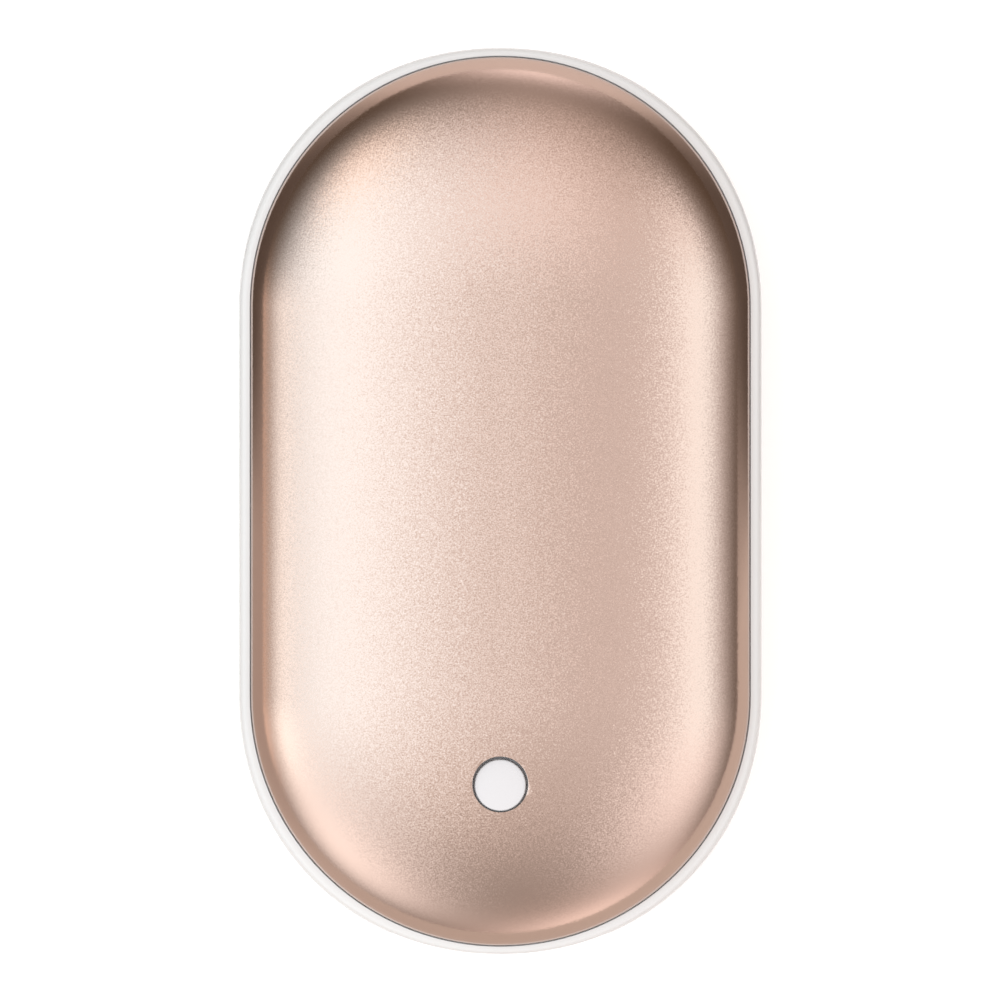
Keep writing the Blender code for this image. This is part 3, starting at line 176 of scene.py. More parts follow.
# The room's own dim light, and its soft lights: name, turn from +X, tilt from straight up, tightness and colour.
# Their places and colours come from a least-squares fit to the photo's reflections, not from a lighting plan.
ROOM_COLOUR = (0.12, 0.08, 0.05)
SOFT_LIGHTS = (
    ("left softbox", 165, 30, 9, (1.41, 1.72, 1.88)),
    ("left strip", 189, 60, 40, (1.05, 1.07, 1.04)),
    ("left doorway", 187, 87, 40, (0.90, 0.66, 0.52)),
    ("lower left wall", 225, 60, 9, (1.52, 1.49, 1.48)),
    ("right softbox", 337, 45, 9, (1.39, 1.35, 1.35)),
    ("right strip", 0, 45, 40, (0.33, 0.50, 0.54)),
    ("upper right strip", 22, 45, 40, (0.69, 0.68, 0.67)),
    ("lower right wall", 292, 87, 9, (1.32, 1.15, 1.09)),
    ("ceiling patch", 240, 15, 18, (0.40, 0.31, 0.26)),
    ("ceiling spot", 60, 15, 40, (0.32, 0.30, 0.30)),
    ("upper softbox", 75, 30, 9, (0.79, 0.69, 0.65)),
    ("upper left patch", 135, 45, 40, (0.72, 0.55, 0.41)),
    ("window behind", 82, 87, 18, (1.32, 1.20, 1.18)),
)

# The blasted grain is full on the crown and slight on the sides: the normal's height, and the grain's share there
GRAIN_SLOPES = (0.86, 0.99)
GRAIN_SHARES = (0.22, 1.0)
# The mean of a noise texture's colour, about which the grains tilt
NOISE_MIDDLE = (0.5, 0.5, 0.5)
# A finish mottles over so many of its grains, and its clear coat has this roughness
MOTTLE_GRAINS = 12
COAT_ROUGHNESS = 0.08

# The heater's track: waves in a metre, where a wave's edge starts and ends, and its colour
TRACK_SCALE = 80.0
TRACK_EDGES = (0.55, 0.62)
TRACK_COLOUR = (0.20, 0.075, 0.02)

# Facets
PLAN_STEPS = 72
DOME_STEPS = 44
BAND_STEPS = 28
ROUND_STEPS = 96
ARC_STEPS = 6
COMB_STEPS = 4 * ARC_STEPS
PIN_STEPS = 40
WINDOW_STEPS = 48
MERGE_DISTANCE = 0.000001
SMOOTH_ANGLE = math.radians(32.0)

LIE_ALONG_X = Matrix(((0, 0, 1, 0), (1, 0, 0, 0), (0, 1, 0, 0), (0, 0, 0, 1)))
LIE_ALONG_Y = Matrix(((1, 0, 0, 0), (0, 0, 1, 0), (0, 1, 0, 0), (0, 0, 0, 1)))


def outline(half_width, half_length, height, power=ROUND_POWER):
    """A round-ended outline at one height."""
    centre = half_length - half_width
    points = []
    for end in (1.0, -1.0):
        for step in range(PLAN_STEPS + 1):
            turn = math.pi * step / PLAN_STEPS
            across = math.copysign(abs(math.cos(turn)) ** (2 / power), math.cos(turn))
            along = abs(math.sin(turn)) ** (2 / power)
            points.append((end * half_width * across, end * (centre + half_width * along), height))
    return points


def dome_ring(share, inset):
    """The front dome's outline at a share of the turn from its rim to its crown, inset into its wall."""
    out, up = math.cos(share * math.pi / 2), math.sin(share * math.pi / 2)
    half_width = CROWN_HALF_WIDTH + (SHELL_HALF_WIDTH - inset - CROWN_HALF_WIDTH) * out
    half_length = CROWN_HALF_LENGTH + (SHELL_HALF_LENGTH - inset - CROWN_HALF_LENGTH) * out
    height = RIM_HEIGHT + (CASE_THICKNESS - inset - RIM_HEIGHT) * up
    return outline(half_width, half_length, height)


def dome_height(y, inset=0.0):
    """How high the front dome is on its centre line."""
    out = max(abs(y) - CROWN_HALF_LENGTH, 0.0) / (SHELL_HALF_LENGTH - inset - CROWN_HALF_LENGTH)
    return RIM_HEIGHT + (CASE_THICKNESS - inset - RIM_HEIGHT) * math.sqrt(1 - out ** 2)


def loft(rings, closed=False):
    """A skin drawn out through outlines with equally many points, capped at both ends or joined round."""
    bm = bmesh.new()
    corners = [bm.verts.new(point) for point in rings[0]]
    edges = [bm.edges.new(pair) for pair in zip(corners, corners[1:] + corners[:1])]
    first = edges
    for ring in rings[1:] + (rings[:1] if closed else []):
        made = bmesh.ops.extrude_edge_only(bm, edges=edges)["geom"]
        fresh = {item for item in made if isinstance(item, bmesh.types.BMVert)}
        edges = [item for item in made if isinstance(item, bmesh.types.BMEdge)]
        edges = [edge for edge in edges if fresh.issuperset(edge.verts)]
        drawn = []
        for corner, place in zip(corners, ring):
            neighbours = [edge.other_vert(corner) for edge in corner.link_edges]
            drawn.append(next(vert for vert in neighbours if vert in fresh))
            drawn[-1].co = place
        corners = drawn
    if closed:
        bmesh.ops.remove_doubles(bm, verts=bm.verts, dist=MERGE_DISTANCE)
    else:
        bmesh.ops.edgeloop_fill(bm, edges=first)
        bmesh.ops.edgeloop_fill(bm, edges=edges)
    return bm


def turned(profile, steps=ROUND_STEPS):
    """A solid turned about Z from points of radius and height that start and end on the axis."""
    bm = bmesh.new()
    corners = [bm.verts.new((radius, 0.0, height)) for radius, height in profile]
    edges = [bm.edges.new(pair) for pair in zip(corners, corners[1:])]
    bmesh.ops.spin(
        bm, geom=corners + edges, cent=(0.0, 0.0, 0.0), axis=(0.0, 0.0, 1.0), angle=2 * math.pi,
        steps=steps, use_merge=True,
    )
    bmesh.ops.remove_doubles(bm, verts=bm.verts, dist=MERGE_DISTANCE)
    return bm


def rod(radius, bottom, top, steps=ROUND_STEPS):
    """An upright round rod."""
    return turned([(0.0, bottom), (radius, bottom), (radius, top), (0.0, top)], steps)


def prism(points, bottom, top):
    """An upright block on a flat outline."""
    bm = bmesh.new()
    face = bm.faces.new([bm.verts.new((x, y, bottom)) for x, y in points])
    made = bmesh.ops.extrude_face_region(bm, geom=[face])
    risen = [item for item in made["geom"] if isinstance(item, bmesh.types.BMVert)]
    bmesh.ops.translate(bm, vec=(0.0, 0.0, top - bottom), verts=risen)
    bmesh.ops.recalc_face_normals(bm, faces=bm.faces)
    return bm


def block(low, high):
    """A box between two corners."""
    (left, front, bottom), (right, back, top) = low, high
    return prism([(left, front), (right, front), (right, back), (left, back)], bottom, top)


def rounded_outline(width, height, radii):
    """A rectangle's outline about the origin, with a radius for each corner from the upper right on."""
    points = []
    sides = ((1, 1), (-1, 1), (-1, -1), (1, -1))
    for quarter, ((right, up), radius) in enumerate(zip(sides, radii)):
        for step in range(ARC_STEPS + 1):
            turn = (quarter + step / ARC_STEPS) * math.pi / 2
            points.append((
                right * (width / 2 - radius) + radius * math.cos(turn),
                up * (height / 2 - radius) + radius * math.sin(turn),
            ))
    return points


def placed(bm, matrix):
    """The same shape, turned and shifted."""
    bmesh.ops.transform(bm, matrix=matrix, verts=bm.verts)
    return bm


def merged(shapes):
    """Several separate shapes in one mesh."""
    together = bmesh.new()
    for shape in shapes:
        mesh = bpy.data.meshes.new("shape")
        shape.to_mesh(mesh)
        shape.free()
        together.from_mesh(mesh)
        bpy.data.meshes.remove(mesh)
    return together


def rounded_edges(bm, edges, radius, segments=3):
    """The same shape with these edges rounded."""
    bmesh.ops.bevel(
        bm, geom=list(edges), offset=radius, affect="EDGES", segments=segments, profile=0.5, material=-1,
    )
    return bm


def as_object(name, bm, material):
    """A mesh object with one material and its faces outwards."""
    bmesh.ops.recalc_face_normals(bm, faces=bm.faces)
    if bm.calc_volume(signed=True) < 0:
        bmesh.ops.reverse_faces(bm, faces=bm.faces)
    mesh = bpy.data.meshes.new(name)
    bm.to_mesh(mesh)
    bm.free()
    mesh.materials.append(material)
    made = bpy.data.objects.new(name, mesh)
    bpy.context.collection.objects.link(made)
    return made


def combine(piece, bm, operation="DIFFERENCE", material=None):
    """Cuts, joins or trims a piece with a helper shape, whose faces can bring a material of their own."""
    helper = as_object("helper", bm, material or piece.data.materials[0])
    modifier = piece.modifiers.new("combine", "BOOLEAN")
    modifier.operation = operation
    modifier.solver = "EXACT"
    modifier.material_mode = "TRANSFER"
    modifier.object = helper
    bpy.context.view_layer.update()
    depsgraph = bpy.context.evaluated_depsgraph_get()
    result = bpy.data.meshes.new_from_object(piece.evaluated_get(depsgraph), depsgraph=depsgraph)
    piece.modifiers.clear()
    old, piece.data = piece.data, result
    result.name = piece.name
    bpy.data.meshes.remove(old)
    bpy.data.objects.remove(helper, do_unlink=True)


def finish_piece(piece, body, nodes=()):
    """Smooths a piece, checks that it is one closed skin, and hands it to its body in the frame."""
    bm = bmesh.new()
    bm.from_mesh(piece.data)
    bmesh.ops.remove_doubles(bm, verts=bm.verts, dist=MERGE_DISTANCE)
    bmesh.ops.dissolve_degenerate(bm, edges=bm.edges, dist=MERGE_DISTANCE)
    open_edges = [edge for edge in bm.edges if not edge.is_manifold]
    if open_edges:
        place = open_edges[0].verts[0].co
        raise RuntimeError(f"{piece.name} has {len(open_edges)} open edges, the first at {place}")
    bm.to_mesh(piece.data)
    bm.free()
    piece.data.shade_smooth()
    piece.data.set_sharp_from_angle(angle=SMOOTH_ANGLE)
    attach(piece, body)
    if nodes:
        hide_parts(*nodes)
    return piece


def spread(nodes, links, value, low, high):
    """A value from 0 to 1 spread over a range, by a map range node."""
    node = nodes.new("ShaderNodeMapRange")
    node.inputs["To Min"].default_value = low
    node.inputs["To Max"].default_value = high
    links.new(value, node.inputs["Value"])
    return node.outputs["Result"]


def maths(nodes, links, operation, *values):
    """A math node's result from sockets and plain numbers."""
    node = nodes.new("ShaderNodeMath")
    node.operation = operation
    fill(links, node, values)
    return node.outputs["Value"]


def vector_maths(nodes, links, operation, *values):
    """A vector math node's result from sockets and plain vectors."""
    node = nodes.new("ShaderNodeVectorMath")
    node.operation = operation
    fill(links, node, values)
    return node.outputs["Value" if operation == "DOT_PRODUCT" else "Vector"]


def fill(links, node, values):
    """Links sockets to a node's inputs in order, and writes plain values into them."""
    for socket, value in zip(node.inputs, values):
        if isinstance(value, bpy.types.NodeSocket):
            links.new(value, socket)
        else:
            socket.default_value = value


def mixed(nodes, links, share, first, second):
    """A colour between two others by a share: each is a socket, or a plain colour."""
    node = nodes.new("ShaderNodeMix")
    node.data_type = "RGBA"
    links.new(share, node.inputs["Factor"])
    for socket, colour in ((node.inputs["A"], first), (node.inputs["B"], second)):
        if isinstance(colour, bpy.types.NodeSocket):
            links.new(colour, socket)
        else:
            socket.default_value = (*colour, 1.0)
    return node.outputs["Result"]


def new_group(name, inputs, outputs):
    """A shader group with named sockets, and its input and output nodes, or None for these where it was there."""
    group = bpy.data.node_groups.get(name)
    if group:
        return group, None
    group = bpy.data.node_groups.new(name, "ShaderNodeTree")
    for label, kind, default in inputs:
        socket = group.interface.new_socket(name=label, in_out="INPUT", socket_type=kind)
        socket.default_value = default
    for label, kind in outputs:
        group.interface.new_socket(name=label, in_out="OUTPUT", socket_type=kind)
    return group, (group.nodes.new("NodeGroupInput"), group.nodes.new("NodeGroupOutput"))


def grain_group():
    """Fine grain in the surface: its height, and a slow mottling, each from 0 to 1."""
    group, ends = new_group(
        "Fine grain",
        (("Grain Size", "NodeSocketFloat", 0.0003), ("Mottle Size", "NodeSocketFloat", 0.004)),
        (("Height", "NodeSocketFloat"), ("Mottle", "NodeSocketFloat")),
    )
    if ends is None:
        return group
    start, end = ends
    nodes, links = group.nodes, group.links
    place = nodes.new("ShaderNodeTexCoord").outputs["Object"]
    for size, result, detail in (("Grain Size", "Height", 1.0), ("Mottle Size", "Mottle", 3.0)):
        texture = nodes.new("ShaderNodeTexNoise")
        texture.inputs["Detail"].default_value = detail
        links.new(place, texture.inputs["Vector"])
        links.new(maths(nodes, links, "DIVIDE", 1.0, start.outputs[size]), texture.inputs["Scale"])
        links.new(texture.outputs["Fac"], end.inputs[result])
    return group


def blasted_group():
    """Blasted grain: each grain tilts the surface its own way, less on the steep sides than on the crown."""
    group, ends = new_group(
        "Blasted grain",
        (("Grain Size", "NodeSocketFloat", 0.0002), ("Tilt", "NodeSocketFloat", 0.5)),
        (("Normal", "NodeSocketVector"),),
    )
    if ends is None:
        return group
    start, end = ends
    nodes, links = group.nodes, group.links
    texture = nodes.new("ShaderNodeTexNoise")
    texture.inputs["Detail"].default_value = 0.0
    links.new(nodes.new("ShaderNodeTexCoord").outputs["Object"], texture.inputs["Vector"])
    links.new(maths(nodes, links, "DIVIDE", 1.0, start.outputs["Grain Size"]), texture.inputs["Scale"])
    centred = vector_maths(nodes, links, "SUBTRACT", texture.outputs["Color"], NOISE_MIDDLE)
    surface = nodes.new("ShaderNodeNewGeometry").outputs["Normal"]
    apart = nodes.new("ShaderNodeSeparateXYZ")
    links.new(surface, apart.inputs["Vector"])
    upright = maths(nodes, links, "ABSOLUTE", apart.outputs["Z"])
    share = spread(nodes, links, upright, *GRAIN_SHARES)
    share.node.inputs["From Min"].default_value, share.node.inputs["From Max"].default_value = GRAIN_SLOPES
    amount = maths(nodes, links, "MULTIPLY", share, start.outputs["Tilt"])
    tilted = vector_maths(nodes, links, "MULTIPLY_ADD", centred, amount, surface)
    links.new(vector_maths(nodes, links, "NORMALIZE", tilted), end.inputs["Normal"])
    return group


def finish(name, colour, roughness, metallic=0.0, grain=0.0003, depth=0.000002, tint=0.04, sheen=0.03, coat=0.0):
    """A procedural finish: fine grain in its bump, and slow mottling in its colour and roughness."""
    material = bpy.data.materials.new(name)
    material.use_nodes = True
    nodes, links = material.node_tree.nodes, material.node_tree.links
    shader = nodes["Principled BSDF"]
    shader.inputs["Metallic"].default_value = metallic
    shader.inputs["Coat Weight"].default_value = coat
    shader.inputs["Coat Roughness"].default_value = COAT_ROUGHNESS
    group = nodes.new("ShaderNodeGroup")
    group.node_tree = grain_group()
    group.inputs["Grain Size"].default_value = grain
    group.inputs["Mottle Size"].default_value = grain * MOTTLE_GRAINS
    darker = [channel * (1 - tint) for channel in colour]
    paler = [min(1.0, channel * (1 + tint)) for channel in colour]
    links.new(mixed(nodes, links, group.outputs["Mottle"], darker, paler), shader.inputs["Base Color"])
    rough = spread(nodes, links, group.outputs["Mottle"], roughness - sheen, roughness + sheen)
    links.new(rough, shader.inputs["Roughness"])
    bump = nodes.new("ShaderNodeBump")
    bump.inputs["Distance"].default_value = depth
    links.new(group.outputs["Height"], bump.inputs["Height"])
    links.new(bump.outputs["Normal"], shader.inputs["Normal"])
    return material


def dress(material, *names):
    """Gives CAD nodes a finish in place of their plain one."""
    for name in names:
        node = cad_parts[name]
        node.data.materials.clear()
        node.data.materials.append(material)


class WarmerLooks(bpy.types.PropertyGroup):
    """Sizes and colours of the hand warmer's finer pieces."""

    rim_radius: bpy.props.FloatProperty(
        name="Rim radius", description="Radius of the rounded edge of each metal shell", default=0.0002,
        min=0.0, max=0.0004, unit="LENGTH", precision=5,
    )
    bore_chamfer: bpy.props.FloatProperty(
        name="Bore chamfer", description="Width of the bright cut edge round the button's bore", default=0.00016,
        min=0.0, max=0.0004, unit="LENGTH", precision=5,
    )
    cap_edge: bpy.props.FloatProperty(
        name="Cap edge", description="Radius of the button's rounded edge", default=0.0002,
        min=0.0, max=0.0006, unit="LENGTH", precision=5,
    )
    grain_size: bpy.props.FloatProperty(
        name="Grain size", description="Size of the blasted grain in the metal", default=0.00017,
        min=0.00005, max=0.002, unit="LENGTH", precision=5,
    )
    grain_tilt: bpy.props.FloatProperty(
        name="Grain tilt", description="How far the blasted grains tilt the metal's surface", default=0.3,
        min=0.0, max=2.0,
    )
    metal_colour: bpy.props.FloatVectorProperty(
        name="Metal colour", description="Colour of the anodised shells", default=(0.61, 0.47, 0.41),
        size=3, min=0.0, max=1.0, subtype="COLOR",
    )
    band_colour: bpy.props.FloatVectorProperty(
        name="Band colour", description="Colour of the moulded band", default=(0.87, 0.88, 0.89),
        size=3, min=0.0, max=1.0, subtype="COLOR",
    )
    cap_colour: bpy.props.FloatVectorProperty(
        name="Button colour", description="Colour of the button's cap", default=(0.84, 0.84, 0.87),
        size=3, min=0.0, max=1.0, subtype="COLOR",
    )


class HANDWARMER_OT_shells(bpy.types.Operator):
    """Builds the two blasted metal shells"""

    bl_idname = "handwarmer.shells"
    bl_label = "Metal shells"

    def execute(self, context):
        looks = context.scene.warmer_looks
        metal = finish("Anodised metal", looks.metal_colour, roughness=0.15, metallic=1.0, tint=0.01, sheen=0.01)
        self.blast(metal, looks.grain_size, looks.grain_tilt)
        cut_edge = finish("Bright cut edge", (0.93, 0.84, 0.79), roughness=0.22, metallic=1.0)
        # The bore's cut wall is a dark metal: painted shade that darkens the gap round the button.
        bore_painted_shade = finish("Bore wall painted shade", (0.20, 0.15, 0.12), roughness=0.5, metallic=1.0)
        front = as_object("front_skin", self.skin(looks.rim_radius), metal)
        bore = rod(BORE_RADIUS, MIDDLE, CASE_THICKNESS + OVERRUN)
        combine(front, placed(bore, Matrix.Translation((0.0, BUTTON_Y, 0.0))), material=bore_painted_shade)
        self.chamfer_bore(front, looks.bore_chamfer, cut_edge)
        finish_piece(front, "case", ["front_shell"])
        turn_over = Matrix.Translation((0.0, 0.0, CASE_THICKNESS)) @ Matrix.Scale(-1.0, 4, (0.0, 0.0, 1.0))
        rear = as_object("rear_skin", placed(self.skin(looks.rim_radius), turn_over), metal)
        finish_piece(rear, "case", ["rear_shell"])
        return {"FINISHED"}

    @staticmethod
    def blast(material, size, tilt):
        """Gives a metal its blasted grain."""
        nodes, links = material.node_tree.nodes, material.node_tree.links
        group = nodes.new("ShaderNodeGroup")
        group.node_tree = blasted_group()
        group.inputs["Grain Size"].default_value = size
        group.inputs["Tilt"].default_value = tilt
        shader = nodes["Principled BSDF"]
        bump = shader.inputs["Normal"].links[0].from_node
        links.new(group.outputs["Normal"], shader.inputs["Normal"])
        nodes.remove(bump)

    @staticmethod
    def skin(radius):
        """A dome of even wall, with a rounded rim and a flat crown."""
        rim = []
        for step in range(ARC_STEPS):
            turn = math.pi / 2 * step / ARC_STEPS
            inset = radius * (1 - math.sin(turn))
            height = RIM_HEIGHT + radius * (1 - math.cos(turn))
            rim.append(outline(SHELL_HALF_WIDTH - inset, SHELL_HALF_LENGTH - inset, height))
        first = math.asin(radius / (CASE_THICKNESS - RIM_HEIGHT)) / (math.pi / 2)
        shares = [first + (1 - first) * step / DOME_STEPS for step in range(DOME_STEPS + 1)]
        outer = rim + [dome_ring(share, 0.0) for share in shares]
        inner = [dome_ring(share, SHELL_WALL) for share in (0.0, *shares[1:])]
        crown = [
            outline(CROWN_HALF_WIDTH * part, CROWN_HALF_LENGTH - CROWN_HALF_WIDTH * (1 - part), CASE_THICKNESS)
            for part in CROWN_SHARES
        ]
        return loft(crown[::-1] + outer[::-1] + inner)

    @staticmethod
    def chamfer_bore(front, width, material):
        """Cuts the bright edge round the bore, square to the dome there."""
        slope = math.atan((dome_height(BUTTON_Y + width) - dome_height(BUTTON_Y - width)) / (2 * width))
        depth = width * CHAMFER_FALL
        reach = CHAMFER_REACH * width
        cone = turned([
            (0.0, -depth), (BORE_RADIUS, -depth),
            (BORE_RADIUS + width + reach, reach * CHAMFER_FALL), (0.0, reach * CHAMFER_FALL),
        ])
        seat = Matrix.Translation((0.0, BUTTON_Y, dome_height(BUTTON_Y))) @ Matrix.Rotation(slope, 4, "X")
        combine(front, placed(cone, seat), material=material)


class HANDWARMER_OT_band(bpy.types.Operator):
    """Builds the white moulded band with its port bay and light windows"""

    bl_idname = "handwarmer.band"
    bl_label = "Moulded band"

    def execute(self, context):
        looks = context.scene.warmer_looks
        plastic = finish(
            "White plastic", looks.band_colour,
            roughness=0.24, grain=0.0005, depth=0.0000015, tint=0.01, sheen=0.02,
        )
        band = as_object("band_skin", self.ring(), plastic)
        face_radius = BAND_HALF_WIDTH - BAY_BLOCK_SETBACK
        edge = math.asin(BAY_HALF_WIDTH / face_radius)
        points = [(-BAY_HALF_WIDTH, BAY_BACK_Y)]
        for step in range(2 * ARC_STEPS + 1):
            turn = -math.pi / 2 - edge + edge * step / ARC_STEPS
            points.append((face_radius * math.cos(turn), face_radius * math.sin(turn) - END_CENTRE))
        points.append((BAY_HALF_WIDTH, BAY_BACK_Y))
        rise = GROOVE_RISE - BAY_BLOCK_MARGIN
        combine(band, prism(points, MIDDLE - rise, MIDDLE + rise), "UNION")
        bay = block(
            (-BAY_HALF_WIDTH, BAND_LOW.y - OVERRUN, MIDDLE - BAY_HALF_HEIGHT),
            (BAY_HALF_WIDTH, BAY_FLOOR_Y, MIDDLE + BAY_HALF_HEIGHT),
        )
        back_edges = [e for e in bay.edges if all(abs(v.co.y - BAY_FLOOR_Y) < MERGE_DISTANCE for v in e.verts)]
        combine(band, rounded_edges(bay, back_edges, BAY_FILLET))
        holes = []
        for low, high in ((USB_A_LOW, USB_A_HIGH), (MICRO_LOW, MICRO_HIGH)):
            size = high - low
            points = rounded_outline(size.x + 2 * GAP, size.z + 2 * GAP, PORT_HOLE_CORNERS)
            hole = placed(prism(points, -OVERRUN, high.y - low.y), LIE_ALONG_Y)
            middle = (low + high) / 2
            holes.append(placed(hole, Matrix.Translation((middle.x, BAY_FLOOR_Y, middle.z))))
        for turn in LIGHT_TURNS:
            window = turned([
                (0.0, BAND_HALF_WIDTH - WINDOW_DEPTH), (WINDOW_RADIUS, BAND_HALF_WIDTH - WINDOW_DEPTH),
                (WINDOW_RADIUS, BAND_HALF_WIDTH - WINDOW_BEVEL_DEPTH),
                (WINDOW_RADIUS + WINDOW_BEVEL_WIDTH, BAND_HALF_WIDTH + WINDOW_BEVEL_RISE),
                (0.0, BAND_HALF_WIDTH + WINDOW_BEVEL_RISE),
            ], WINDOW_STEPS)
            holes.append(placed(window, light_frame(turn)))
        combine(band, merged(holes))
        finish_piece(band, "case", ["mid_band"])
        return {"FINISHED"}

    @staticmethod
    def ring():
        """The band's outlines round its section: its bulging face, then its grooves, lips and channel."""
        rings = []
        for step in range(BAND_STEPS + 1):
            turn = math.pi / 2 - math.pi * step / BAND_STEPS
            out = abs(math.cos(turn)) ** (2 / BAND_POWER)
            rise = math.copysign(abs(math.sin(turn)) ** (2 / BAND_POWER), turn)
            rings.append(outline(
                SHELL_HALF_WIDTH + SEAM + (BAND_HALF_WIDTH - SHELL_HALF_WIDTH - SEAM) * out,
                SHELL_HALF_LENGTH + SEAM + (BAND_HALF_LENGTH - SHELL_HALF_LENGTH - SEAM) * out,
                MIDDLE + rise * BAND_HEIGHT / 2, ROUND_POWER + (CASE_POWER - ROUND_POWER) * out,
            ))
        section = (
            (-SEAM, GROOVE_RISE), (LIP_OUTER_INSET, GROOVE_RISE), (LIP_OUTER_INSET, LIP_RISE),
            (LIP_INNER_INSET, LIP_RISE), (LIP_INNER_INSET, FLANGE_RISE), (CHANNEL_INSET, FLANGE_RISE),
        )
        both = [(inset, -rise) for inset, rise in section] + [(inset, rise) for inset, rise in reversed(section)]
        for inset, rise in both:
            rings.append(outline(SHELL_HALF_WIDTH - inset, SHELL_HALF_LENGTH - inset, MIDDLE + rise))
        return loft(rings, closed=True)


def light_frame(turn):
    """A frame whose +Z points out of the band at a charge light."""
    out = Matrix.Translation((0.0, -END_CENTRE, MIDDLE)) @ Matrix.Rotation(turn, 4, "Z")
    return out @ LIE_ALONG_X


class HANDWARMER_OT_button(bpy.types.Operator):
    """Builds the round white button"""

    bl_idname = "handwarmer.button"
    bl_label = "Button"

    def execute(self, context):
        looks = context.scene.warmer_looks
        plastic = finish(
            "Button plastic", looks.cap_colour,
            roughness=0.30, grain=0.0004, depth=0.000001, tint=0.008, sheen=0.02,
        )
        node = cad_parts["button_cap"]
        flange = [v.co.z for v in node.data.vertices if math.hypot(v.co.x, v.co.y - BUTTON_Y) > CAP_RADIUS + GAP]
        flange_radius = CAP_HIGH.x
        edge = looks.cap_edge
        profile = [
            (0.0, CAP_LOW.z), (STEM_RADIUS, CAP_LOW.z), (STEM_RADIUS, min(flange)),
            (flange_radius, min(flange)), (flange_radius, max(flange)), (CAP_RADIUS, max(flange)),
        ]
        for step in range(ARC_STEPS + 1):
            turn = math.pi / 2 * step / ARC_STEPS
            profile.append((
                CAP_RADIUS - edge + edge * math.cos(turn), CAP_HIGH.z - edge + edge * math.sin(turn),
            ))
        profile.append((0.0, CAP_HIGH.z))
        seat = Matrix.Translation((0.0, BUTTON_Y + CAP_SHIFT, 0.0))
        cap = as_object("button_disc", placed(turned(profile), seat), plastic)
        finish_piece(cap, "button", ["button_cap"])
        return {"FINISHED"}


